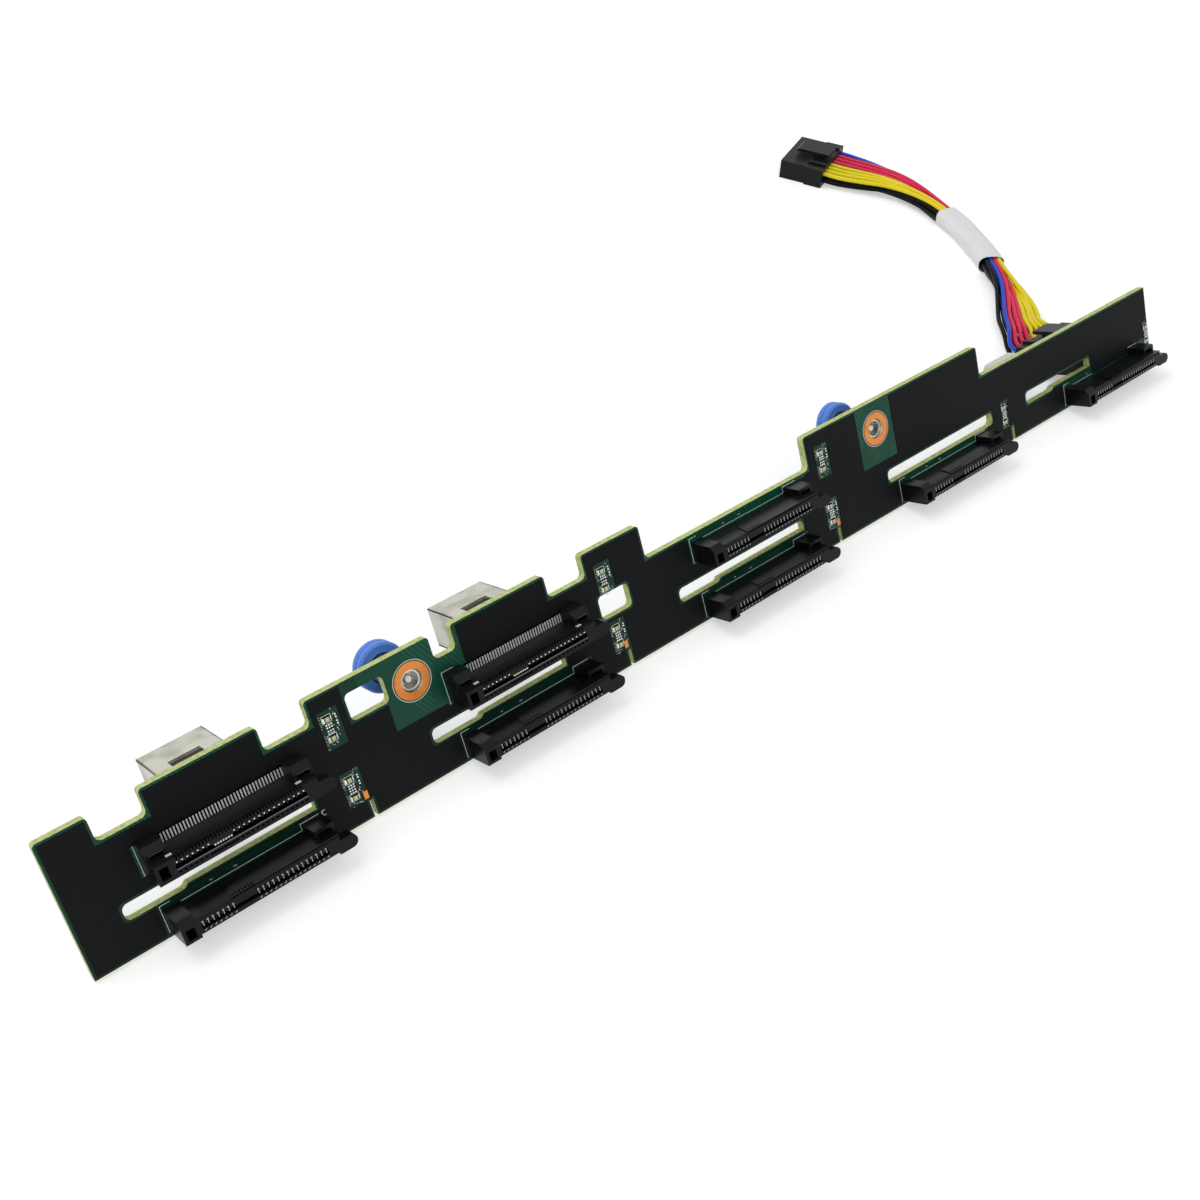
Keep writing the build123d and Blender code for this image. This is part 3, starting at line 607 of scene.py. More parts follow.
@dataclass(frozen=True)
class Finish:
    """A finish: one material, built the first time it is asked for."""

    name: str

    def material(self) -> bpy.types.Material:
        """Finds or makes the finish's material.

        Returns:
            The material, under a name of its own.
        """
        title = f"finish_{self.name}"
        made = bpy.data.materials.get(title)
        if made is None:
            made = bpy.data.materials.new(title)
            made.use_nodes = True
            self.build(Graph(made.node_tree), made.node_tree.nodes["Principled BSDF"])
        return made

    def build(self, graph: Graph, shader: bpy.types.Node) -> None:
        """Dresses the shader; each kind of finish has its own way."""
        raise NotImplementedError

    @staticmethod
    def relief(graph: Graph, shader: bpy.types.Node, height: Socket, depth: float) -> None:
        """Lets a height stand out of the surface.

        Args:
            graph: The material's graph.
            shader: The shader whose surface is raised.
            height: The height, from 0 to 1.
            depth: How far a height of 1 stands out, in metres.
        """
        bump = graph.add("ShaderNodeBump")
        graph.feed(bump.inputs["Height"], height)
        graph.feed(bump.inputs["Distance"], depth)
        graph.feed(bump.inputs["Strength"], 0.6)
        graph.feed(shader.inputs["Normal"], bump.outputs["Normal"])


def darker(colour: Colour, share: float) -> Colour:
    """A share of a colour, with full alpha."""
    red, green, blue, alpha = colour
    return (share * red, share * green, share * blue, alpha)


@dataclass(frozen=True)
class Plastic(Finish):
    """Moulded plastic or lacquer: a colour, a lighter worn colour and a fine grain, sized in metres."""

    colour: Colour
    worn: Colour
    roughness: float
    grain: float = 0.0003
    depth: float = 0.00001
    marks: float = 0.3
    glow: float = 0.0
    glow_depth: float = 0.001
    sheen: float = 0.5
    grain_shade: float = 0.82
    worn_roughness: float = 0.2

    def build(self, graph: Graph, shader: bpy.types.Node) -> None:
        """Colour by grain and marks, gloss by marks, and a fine relief.

        Args:
            graph: The material's graph.
            shader: The shader that is dressed.
        """
        grain = graph.group(Effects.fine_grain(), Size=self.grain)
        marks = graph.group(Effects.handling(), Amount=self.marks).outputs["Mask"]
        body = graph.blend(grain.outputs["Tone"], darker(self.colour, self.grain_shade), self.colour)
        graph.feed(shader.inputs["Base Color"], graph.blend(marks, body, self.worn))
        dull = min(self.roughness + self.worn_roughness, 1.0)
        graph.feed(shader.inputs["Roughness"], graph.between(marks, 0.0, 1.0, self.roughness, dull))
        graph.feed(shader.inputs["Specular IOR Level"], self.sheen)
        if self.glow:
            graph.feed(shader.inputs["Subsurface Weight"], self.glow)
            graph.feed(shader.inputs["Subsurface Scale"], self.glow_depth)
        self.relief(graph, shader, grain.outputs["Height"], self.depth)


@dataclass(frozen=True)
class Metal(Finish):
    """Plated or turned metal: a bright colour, a duller stain and fine drawn lines."""

    colour: Colour
    stain: Colour
    roughness: float
    stretch: Triple = (1.0, 1.0, 1.0)
    scale: float = 900.0
    depth: float = 0.00001
    stain_scale: float = 160.0
    line_roughness: float = 0.14
    foot: Colour | None = None
    foot_reach: float = 1.0
    foot_dullness: float = 0.7

    def build(self, graph: Graph, shader: bpy.types.Node) -> None:
        """Drawn lines as stretched noise, stains as broad noise, and feet on the board in their own colour.

        Args:
            graph: The material's graph.
            shader: The shader that is dressed.
        """
        lines = graph.noise(graph.stretched(self.stretch), self.scale, 4.0)
        stains = graph.between(graph.noise(graph.where(), self.stain_scale, 3.0), 0.42, 0.72)
        colour = graph.blend(stains, self.colour, self.stain)
        metallic = 1.0
        if self.foot:
            depth = graph.group(Effects.board_place()).outputs["Depth"]
            foot = graph.maths("LESS_THAN", depth, self.foot_reach)
            colour = graph.blend(foot, colour, self.foot)
            metallic = graph.maths("SUBTRACT", 1.0, graph.product(foot, self.foot_dullness))
        graph.feed(shader.inputs["Metallic"], metallic)
        graph.feed(shader.inputs["Base Color"], colour)
        rough = graph.between(lines, 0.3, 0.7, self.roughness, self.roughness + self.line_roughness)
        graph.feed(shader.inputs["Roughness"], rough)
        self.relief(graph, shader, lines, self.depth)


@dataclass(frozen=True)
class Laminate(Finish):
    """Circuit board: green lacquer over copper tracks on its faces, pale glass fibre on its cut edges.

    The sizes are millimetres on the board.
    """

    lacquer: Colour
    over_copper: Colour
    fibre: Colour
    fibre_shade: Colour
    plating: Colour
    sheen: float = 0.22
    skin: float = 0.03
    track_pitch: float = 1.3
    track_slant: float = 0.6
    ply_pitch: float = 0.4
    wall_radius: float = 3.3
    front: float = -1.0
    # The lacquer darkens to this share in the painted shade low on the front and in the film's windows.
    shade: float = 0.3
    shade_heights: tuple[float, float] = (9.0, 16.0)
    shade_lengths: tuple[float, float] = (90.0, 340.0)
    shade_shares: tuple[float, float] = (0.9, 0.1)
    window_start: float = 48.0
    window_length: float = 13.5
    window_share: float = 0.6

    def plated(self, graph: Graph, length: Socket, height: Socket) -> Socket:
        """One round the plunger holes: where a place lies nearer to a hole's middle than the wall's radius.

        Args:
            graph: The material's graph.
            length: The place along the board.
            height: The place up the board.

        Returns:
            One there, and nought elsewhere.
        """
        near = []
        for x, y in LAYOUT.plungers:
            across = graph.maths("SUBTRACT", length, x)
            above = graph.maths("SUBTRACT", height, y)
            square = graph.maths("ADD", graph.product(across, across), graph.product(above, above))
            near.append(graph.maths("LESS_THAN", square, self.wall_radius ** 2))
        return graph.maths("MAXIMUM", *near)

    def tracks(self, graph: Graph, length: Socket, height: Socket) -> Socket:
        """Slanting copper tracks: a sine wave across them, let through where broad noise is high.

        Args:
            graph: The material's graph.
            length: The place along the board.
            height: The place up the board.

        Returns:
            One on a track, and nought beside it.
        """
        slant = graph.maths("ADD", length, graph.product(height, self.track_slant))
        wave = graph.maths("SINE", graph.product(slant, 2 * math.pi / self.track_pitch))
        patch = graph.between(graph.noise(graph.where(), 120.0, 1.0), 0.5, 0.56)
        return graph.product(graph.between(wave, 0.35, 0.6), patch)

    def shaded(self, graph: Graph, length: Socket, height: Socket, depth: Socket) -> Socket:
        """How dark the front is: painted shade fading up from the lower sockets and to the right, and darker
        film windows.

        Args:
            graph: The material's graph.
            length: The place along the board.
            height: The place up the board.
            depth: The place out of the front face.

        Returns:
            The darkness, from 0 to 1.
        """
        low = graph.between(height, *self.shade_heights, 1.0, 0.0)
        strip = graph.product(low, graph.between(length, *self.shade_lengths, *self.shade_shares))
        past = graph.maths("SUBTRACT", length, LAYOUT.first_socket + self.window_start)
        past = graph.maths("FLOORED_MODULO", past, LAYOUT.column_pitch)
        window = graph.product(graph.maths("LESS_THAN", past, self.window_length), self.window_share)
        front = graph.maths("GREATER_THAN", depth, self.front)
        return graph.product(front, graph.maths("MAXIMUM", strip, window))

    def cut_edge(self, graph: Graph, depth: Socket, cloudy: Socket) -> Socket:
        """The colour of a cut edge: cloudy fibre with thin plies, a sine wave through the thickness.

        Args:
            graph: The material's graph.
            depth: The place out of the front face.
            cloudy: Fine noise.

        Returns:
            The colour.
        """
        plies = graph.maths("SINE", graph.product(depth, 2 * math.pi / self.ply_pitch))
        fibre = graph.blend(graph.between(cloudy, 0.35, 0.75), self.fibre, self.fibre_shade)
        return graph.blend(graph.between(plies, 0.6, 1.0, 0.0, 0.35), fibre, self.fibre_shade)

    def build(self, graph: Graph, shader: bpy.types.Node) -> None:
        """Faces and edges are told apart by depth: an edge is what lies between the two skins.

        Args:
            graph: The material's graph.
            shader: The shader that is dressed.
        """
        spot = graph.group(Effects.board_place())
        length, height, depth = (spot.outputs[label] for label in ("Length", "Height", "Depth"))
        below_front = graph.maths("LESS_THAN", depth, -self.skin)
        above_back = graph.maths("GREATER_THAN", depth, self.skin - BOARD.thickness / MM)
        edge = graph.product(below_front, above_back)
        wall = graph.product(edge, self.plated(graph, length, height))
        tracks = self.tracks(graph, length, height)
        face = graph.blend(tracks, self.lacquer, self.over_copper)
        # Painted shade: the lacquer darkens along the lower sockets, more towards the left, and in the
        # film's windows.
        shade = darker(self.lacquer, self.shade)
        face = graph.blend(self.shaded(graph, length, height, depth), face, shade)
        cloudy = graph.noise(graph.where(), 900.0, 3.0)
        colour = graph.blend(edge, face, self.cut_edge(graph, depth, cloudy))
        graph.feed(shader.inputs["Base Color"], graph.blend(wall, colour, self.plating))
        graph.feed(shader.inputs["Metallic"], wall)
        graph.feed(shader.inputs["Specular IOR Level"], self.sheen)
        rough = graph.between(edge, 0.0, 1.0, 0.36, 0.7)
        graph.feed(shader.inputs["Roughness"], graph.maths("SUBTRACT", rough, graph.product(wall, 0.4)))
        self.relief(graph, shader, graph.maths("MAXIMUM", tracks, graph.product(edge, cloudy)), 0.00003)


class Look:
    """Every finish on the part, by the name of what it is."""

    laminate = Laminate(
        "board_green",
        lacquer=tint(6, 70, 50), over_copper=tint(16, 94, 68), fibre=tint(218, 224, 158),
        fibre_shade=tint(172, 184, 104), plating=tint(214, 210, 200),
    )
    film = Plastic(
        "film_matte_black",
        colour=tint(17, 18, 20), worn=tint(44, 44, 47),
        roughness=0.58, grain=0.0006, depth=0.000012, marks=0.2, sheen=0.11,
    )
    socket = Plastic(
        "socket_black",
        colour=tint(18, 18, 21), worn=tint(58, 58, 64),
        roughness=0.3, depth=0.00002, marks=0.35, sheen=0.16,
    )
    # Painted highlight: grey strips along the small sockets' front edges stand for their lit edges.
    rim_highlight = Plastic(
        "socket_rim_highlight",
        colour=tint(64, 64, 70), worn=tint(110, 110, 116),
        roughness=0.3, marks=0.5, sheen=0.3,
    )
    # Painted highlight: pale grey lines along the wide sockets' lips and ears stand for their lit edges.
    line = Plastic(
        "lip_highlight",
        colour=tint(138, 138, 146), worn=tint(176, 176, 182),
        roughness=0.3, marks=0.5,
    )
    # Painted glints: pale grey strokes on the small sockets' contacts.
    stroke = Plastic(
        "contact_glint_stroke",
        colour=tint(186, 186, 190), worn=tint(230, 230, 230),
        roughness=0.3, marks=0.6,
    )
    # The wide sockets' contact tips, coloured near white: the tips are real, their whiteness is a painted
    # glint.
    tip_glint = Plastic(
        "contact_tip_glint",
        colour=tint(255, 238, 208), worn=tint(255, 248, 236),
        roughness=0.2, marks=0.4, sheen=1.0,
    )
    # Near black: painted shade in the small sockets' grooves and the cages' notches, and the dark ground
    # between the wide sockets' feet.
    dark = Plastic(
        "comb_dark",
        colour=tint(4, 4, 5), worn=tint(10, 10, 11),
        roughness=0.8, marks=0.1, sheen=0.02,
    )
    plug = Plastic(
        "plug_black",
        colour=tint(24, 26, 26), worn=tint(52, 54, 54),
        roughness=0.4, grain=0.0004, depth=0.00003, sheen=0.16,
    )
    knob = Plastic(
        "knob_blue",
        colour=tint(96, 148, 244), worn=tint(136, 176, 246),
        roughness=0.42, grain=0.0004, depth=0.00002, sheen=0.4,
    )
    nylon = Plastic(
        "nylon_pale",
        colour=tint(226, 226, 222), worn=tint(240, 240, 236),
        roughness=0.42, grain=0.0005, depth=0.00002, glow=0.25,
    )
    ink = Plastic(
        "print_white",
        colour=tint(230, 234, 230), worn=tint(190, 198, 192),
        roughness=0.6, marks=0.4,
    )
    label = Plastic(
        "label_white",
        colour=tint(253, 253, 254), worn=tint(244, 244, 246),
        roughness=0.5, grain=0.00015, depth=0.000001, marks=0.15, sheen=0.3,
    )
    chip = Plastic(
        "chip_dark",
        colour=tint(14, 15, 15), worn=tint(50, 50, 52),
        roughness=0.4, grain=0.0002, sheen=0.2,
    )
    lens = Plastic(
        "light_lens",
        colour=tint(232, 226, 160), worn=tint(246, 244, 220),
        roughness=0.25, grain=0.0002, glow=0.3,
    )
    contact = Metal(
        "contact_bright",
        colour=tint(250, 246, 236), stain=tint(226, 214, 184),
        roughness=0.22,
    )
    wide_contact = Metal(
        "contact_gold",
        colour=tint(255, 236, 200), stain=tint(240, 204, 150), foot=tint(250, 250, 250),
        roughness=0.22,
    )
    gold = Metal(
        "pin_gold",
        colour=tint(246, 206, 138), stain=tint(222, 170, 92),
        roughness=0.24,
    )
    solder = Metal(
        "solder_bright",
        colour=tint(246, 248, 250), stain=tint(216, 218, 220),
        roughness=0.3,
    )
    copper = Metal(
        "pad_copper",
        colour=tint(222, 144, 74), stain=tint(202, 122, 58),
        roughness=0.42, scale=700.0,
    )
    cage = Metal(
        "cage_plated",
        colour=tint(196, 197, 184), stain=tint(166, 167, 152),
        roughness=0.34, stretch=(1.0, 12.0, 12.0), scale=700.0,
    )
    spring_leaf = Metal(
        "cage_leaf",
        colour=tint(150, 146, 130), stain=tint(120, 116, 102),
        roughness=0.4, stretch=(1.0, 12.0, 12.0), scale=700.0,
    )
    turned = Metal(
        "plunger_plated",
        colour=tint(206, 204, 198), stain=tint(160, 157, 148),
        roughness=0.26, stretch=(8.0, 1.0, 1.0), scale=700.0,
    )
    spring = Metal(
        "spring_steel",
        colour=tint(176, 176, 178), stain=tint(120, 120, 122),
        roughness=0.3,
    )


class WireColour(Enum):
    """The insulation colours of the harness."""

    BLUE = "blue"
    RED = "red"
    YELLOW = "yellow"
    BLACK = "black"

    @property
    def finish(self) -> Plastic:
        """The insulation in this colour.

        Returns:
            A smooth, slightly glossy finish, duller where it is black.
        """
        shades = {
            WireColour.BLUE: (tint(14, 70, 214), tint(50, 100, 228)),
            WireColour.RED: (tint(240, 30, 84), tint(240, 92, 126)),
            WireColour.YELLOW: (tint(255, 236, 8), tint(252, 240, 110)),
            WireColour.BLACK: (tint(9, 9, 11), tint(50, 50, 54)),
        }
        colour, worn = shades[self]
        return Plastic(
            f"wire_{self.value}", colour, worn, roughness=0.26, grain=0.00015, depth=0.000001, marks=0.08,
            sheen=0.1 if self is WireColour.BLACK else 0.3,
        )


def make_piece(
    name: str, surface: Surface, finishes: list[Finish], smooth: bool = False
) -> bpy.types.Object:
    """Turns a surface into a piece that rides on the board.

    Args:
        name: The piece's name.
        surface: Its points, faces and finish numbers.
        finishes: The finishes that the numbers mean.
        smooth: Whether its faces are shaded smooth.

    Returns:
        The finished piece.
    """
    mesh = bpy.data.meshes.new(name)
    mesh.from_pydata(surface.points.tolist(), [], surface.faces)
    for finish in finishes:
        mesh.materials.append(finish.material())
    mesh.polygons.foreach_set("material_index", surface.finishes)
    mesh.polygons.foreach_set("use_smooth", [smooth] * len(surface.faces))
    mesh.update()
    piece = bpy.data.objects.new(name, mesh)
    bpy.context.scene.collection.objects.link(piece)
    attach(piece, ROOT_BODY)
    LOG.info("%s: %d faces on %s", name, len(surface.faces), ROOT_BODY)
    return piece


@dataclass(frozen=True)
class Line:
    """The harness's middle line, evenly spaced: its points and directions, and how far along each one is.

    The points are in metres, and how far along they are is in millimetres.
    """

    points: np.ndarray

    @property
    def ahead(self) -> np.ndarray:
        """The direction along the line at each point."""
        return unit(np.gradient(self.points, axis=0))

    @property
    def right(self) -> np.ndarray:
        """The level direction to the right of the line at each point: the one ahead, turned clockwise."""
        ahead = self.ahead
        return np.stack([ahead[:, 1], -ahead[:, 0], np.zeros(len(ahead))], -1)

    @property
    def far(self) -> np.ndarray:
        """How far along the line each point is: its number times the spacing."""
        return np.arange(len(self.points)) * np.linalg.norm(self.points[1] - self.points[0]) / MM


@dataclass
class Harness:
    """The power harness: sixteen wires between two plugs, with a white label wrapped round them.

    Its sizes are in millimetres, and its places are in the model's frame, or on the board for the near plug.
    """

    route: tuple[Place, ...] = (
        (171.75, 13.42), (173.15, 26.92), (182.75, 38.92), (194.85, 51.62), (206.65, 69.02),
        (215.25, 88.62), (220.75, 109.42), (221.25, 126.92), (216.85, 139.42), (209.65, 155.82),
    )
    height: float = 4.6
    bundle: float = 8.4
    length: float = 152.0
    exit: Triple = (171.8, 15.9, 4.6)
    step: float = 0.6
    wire_radius: float = 0.82
    wire_sides: int = 12
    wander_seed: int = 11
    circuits: int = 8
    outer_circuits: int = 2
    pitch: float = 3.0
    pack_width: float = 1.7
    pack_rise: float = 1.47
    pack_middle: float = 3.5
    ribbon_pitch: float = 1.68
    ribbon_shift: float = 1.0
    ribbon_reach: float = 16.0
    near_bulge: float = 2.6
    near_face: float = 2.5
    near_straight: float = 10.0
    far_face: float = 3.0
    far_straight: float = 8.0
    margin: float = 2.0
    wanders: tuple[float, float, float, float] = (0.25, 0.6, 0.2, 0.4)
    ground_gap: float = 0.05
    label_start: float = 57.4
    label_length: float = 39.6
    label_wide: float = 4.9
    label_high: float = 3.5
    label_wall: float = 0.16
    label_lift: float = 0.25
    label_clearance: float = 0.1
    label_power: float = 2.6
    label_sides: int = 56
    flap_rise: Place = (1.9, 1.95)
    flap_fall: Place = (3.6, 4.0)
    creases: tuple[Triple, ...] = ((0.1, 3, 7), (0.06, 5, -11))
    far_plug_turn: float = 23.7
    far_plug_middle: Triple = (210.85, 153.02, 3.8)
    near_plug_middle: Triple = (371.6, 13.9, -24.0)

    @property
    def label_end(self) -> float:
        """Where the label ends along the line."""
        return self.label_start + self.label_length

    def centreline(self) -> Line:
        """Reads points along a smooth spline through the route, and spaces them evenly.

        Returns:
            The line that the bundle follows.
        """
        curve = bpy.data.curves.new("harness_route", "CURVE")
        curve.dimensions = "3D"
        curve.resolution_u = 24
        spline = curve.splines.new("NURBS")
        spline.points.add(len(self.route) - 1)
        for point, (x, y) in zip(spline.points, self.route):
            point.co = (x * MM, y * MM, self.height * MM, 1.0)
        spline.order_u = 3
        spline.use_endpoint_u = True
        holder = bpy.data.objects.new("harness_route", curve)
        read = bpy.data.meshes.new_from_object(holder)
        points = np.empty(len(read.vertices) * 3)
        read.vertices.foreach_get("co", points)
        points = points.reshape(-1, 3)
        bpy.data.meshes.remove(read)
        bpy.data.objects.remove(holder)
        bpy.data.curves.remove(curve)
        far = np.concatenate([[0], np.cumsum(np.linalg.norm(np.diff(points, axis=0), axis=1))])
        even = np.linspace(0, far[-1], int(far[-1] / (self.step * MM)))
        return Line(np.stack([np.interp(even, far, points[:, axis]) for axis in range(3)], -1))

    def colours(self) -> list[WireColour]:
        """The wires' colours: the upper row from left to right at the board, then the lower row."""
        upper = [WireColour.BLUE] + [WireColour.RED] * 3 + [WireColour.YELLOW] * 4
        return upper + [WireColour.BLACK] * self.circuits

    def across(self, pitch: float) -> np.ndarray:
        """A row of circuits at a pitch, centred on nought."""
        return (np.arange(self.circuits) - (self.circuits - 1) / 2) * pitch

    def fans(self) -> tuple[np.ndarray, np.ndarray]:
        """Finds where each wire leaves the two plugs.

        Returns:
            Places to the right of and above the near plug's middle, and the far plug's, whose rows run back.
        """
        across = np.tile(self.across(self.pitch), 2)
        rows = np.repeat([self.pitch / 2, -self.pitch / 2], self.circuits)
        return np.stack([across, rows], -1), np.stack([-across, rows], -1)

    def packs(self) -> tuple[np.ndarray, np.ndarray]:
        """Finds where each wire lies in the bundle, in rows of four, five, four and three.

        Each wire has its row from the ground up and its place in the row, which the pitches turn into
        millimetres.

        Returns:
            Places to the right of and above the bundle's middle, at the label's near and far end.
        """
        black_near = [(3, -1.5), (2, -2), (2, -1), (1, -1.5), (1, -0.5), (0, -1), (0, 0), (0, 1)]
        near = [(3, -0.5), (3, 0.5), (2, 0), (2, 1), (1, 0.5), (1, 1.5), (3, 1.5), (2, 2)] + black_near
        black_far = [(0, 1.5), (0, 0.5), (0, -0.5), (0, -1.5), (1, 0), (1, -1), (1, -2), (2, -1.5)]
        far = [(1, 1), (3, 1), (2, 1.5), (1, 2), (2, 0.5), (3, 0), (2, -0.5), (3, -1)] + black_far
        ends = [np.array(end, float) for end in (near, far)]
        near_end, far_end = [
            np.stack([end[:, 1] * self.pack_width, (end[:, 0] - 1.5) * self.pack_rise], -1) for end in ends
        ]
        return near_end, far_end

    def ribbon(self) -> np.ndarray:
        """Finds where each wire lies just past the near plug: two flat layers, the black one further left.

        Returns:
            Places to the right of and above the bundle's middle.
        """
        across = self.across(self.ribbon_pitch)
        row = np.full(self.circuits, self.ribbon_pitch / 2)
        coloured = np.stack([across + self.ribbon_shift, row], -1)
        black = np.stack([across - self.ribbon_shift, -row], -1)
        return np.concatenate([coloured, black])

    def beside(self, far: np.ndarray) -> list[np.ndarray]:
        """Works out how far each wire lies to the right of and above the bundle's middle.

        The place goes smoothly from the near plug's hole into a flat ribbon, from there to its place in the
        bundle, across the label to its other place, and out to the far plug's hole.

        Args:
            far: How far along the line each point is.

        Returns:
            For each wire, its places in millimetres.
        """
        start, end = self.near_face + self.ribbon_reach, far[-1] - self.far_face - self.margin
        close = smooth_step(far, self.near_face, start)[:, None]
        gather = smooth_step(far, start, self.label_start - self.margin)[:, None]
        cross = smooth_step(far, self.label_start, self.label_end)[:, None]
        spread = smooth_step(far, self.label_end + self.margin, end)[:, None]
        places = []
        for near_fan, far_fan, flat, near, past in zip(*self.fans(), self.ribbon(), *self.packs()):
            bundled = near + cross * (past - near)
            fanned = near_fan + close * (flat - near_fan)
            place = bundled * gather + fanned * (1 - gather)
            places.append(place * (1 - spread) + far_fan * spread)
        return places

    def straight(self, far: np.ndarray) -> tuple[list[np.ndarray], list[np.ndarray]]:
        """Draws each wire straight out of both plugs: the plug's middle, the hole's place and the way back.

        Args:
            far: How far along the line each point is.

        Returns:
            The wires' straight paths from the near plug and to the far one, in metres.
        """
        near_fan, far_fan = self.fans()
        turn = math.radians(self.far_plug_turn)
        ahead = np.array([-math.sin(turn), math.cos(turn), 0.0])
        right = np.array([math.cos(turn), math.sin(turn), 0.0])
        above = np.array([0.0, 0.0, 1.0])
        out = (far - self.near_face)[:, None] * MM
        back = (far - (far[-1] - self.far_face))[:, None] * MM
        near_middle = BOARD.place(np.array(self.near_plug_middle))
        far_middle = np.array(self.far_plug_middle) * MM
        near = [near_middle + (BOARD.along * x + BOARD.up * y) * MM - BOARD.out * out for x, y in near_fan]
        return near, [far_middle + (right * x + above * y) * MM + ahead * back for x, y in far_fan]

    def wires(self, line: Line) -> list[np.ndarray]:
        """Lays each wire along the line.

        A squared half sine of its own adds slack on each side of the label, and one that all share bows the
        ribbon to the right. Near its two plugs a wire goes over into its straight path.

        Args:
            line: The line that the bundle follows.

        Returns:
            One path for each wire, in metres.
        """
        far, right = line.far, line.right
        total = far[-1]
        near_slack = np.sin(math.pi * np.clip(far / self.label_start, 0, 1)) ** 2
        past_label = (far - self.label_end) / (total - self.label_end)
        far_slack = np.sin(math.pi * np.clip(past_label, 0, 1)) ** 2
        near_hold = 1 - smooth_step(far, self.near_face, self.near_face + self.near_straight)[:, None]
        far_end = total - self.far_face
        far_hold = smooth_step(far, far_end - self.far_straight, far_end)[:, None]
        ground = (self.wire_radius + self.ground_gap) * MM
        random = np.random.default_rng(self.wander_seed)
        near_side, far_side, near_lift, far_lift = self.wanders
        paths = []
        for beside, near_path, far_path in zip(self.beside(far), *self.straight(far)):
            wander = random.uniform(-1, 1, 4)
            loose = (self.near_bulge + near_side * wander[0]) * near_slack + far_side * wander[1] * far_slack
            lift = near_lift * (1 + wander[2]) * near_slack + far_lift * (1 + wander[3]) * far_slack
            path = line.points + right * (beside[:, :1] + loose[:, None]) * MM
            path[:, 2] = (self.pack_middle + beside[:, 1] + lift) * MM
            path = path + near_hold * (near_path - path) + far_hold * (far_path - path)
            path[:, 2] = np.maximum(path[:, 2], ground)
            paths.append(path)
        return paths

    def wrap(self, line: Line) -> Surface:
        """The label: a flattened oval carried along the line, out on one side and back inside it.

        The oval is a superellipse. About a third of its turn stands one wall higher, where the label's end
        overlaps its start. Sines crease it, each with its size, its turns round and its slant along.

        Args:
            line: The line that the bundle follows.

        Returns:
            A closed sleeve.
        """
        inside = (line.far >= self.label_start) & (line.far <= self.label_end)
        part = Line(line.points[inside])
        middle, right = part.points, part.right
        angle, power = full_turn(self.label_sides), self.label_power
        across, above = np.cos(angle), np.sin(angle)
        bent = (np.abs(across) ** power + np.abs(above) ** power) ** (-1 / power)
        flap = smooth_step(angle, *self.flap_rise) * (1 - smooth_step(angle, *self.flap_fall))
        flap = flap * self.label_wall
        run = np.linspace(0, 1, len(middle))[:, None]
        crease = sum(size * np.sin(turns * angle + slant * run) for size, turns, slant in self.creases)
        rings = []
        for wall in (0.0, -self.label_wall):
            wide = (self.label_wide + wall + flap + crease) * bent * across
            high = (self.label_high + wall + flap + 0.5 * crease) * bent * above
            place = middle[:, None] + right[:, None] * wide[..., None] * MM
            lowest = (self.label_clearance - wall) * MM
            place[..., 2] = np.maximum((self.label_high + self.label_lift + high) * MM, lowest)
            rings.append(place)
        outer, inner = rings
        loop = np.concatenate([outer, inner[::-1]])
        faces = grid_faces(len(loop), self.label_sides, True)[:, ::-1]
        return Surface.plain(loop.reshape(-1, 3), as_faces(faces))

    def build(self) -> None:
        line = self.centreline()
        names = list(WireColour)
        inner, outer = [], []
        for number, (path, colour) in enumerate(zip(self.wires(line), self.colours())):
            made = tube(path, self.wire_radius * MM, self.wire_sides, names.index(colour))
            within = self.outer_circuits <= number % self.circuits < self.circuits - self.outer_circuits
            (inner if within else outer).append(made)
        finishes = [colour.finish for colour in names]
        bundle = make_piece("harness_wires", Surface.joined(inner), finishes, True)
        sides = make_piece("harness_outer_wires", Surface.joined(outer), finishes, True)
        label = make_piece("harness_label", self.wrap(line), [Look.label], True)
        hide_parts("power_harness")
        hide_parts("cable_label")


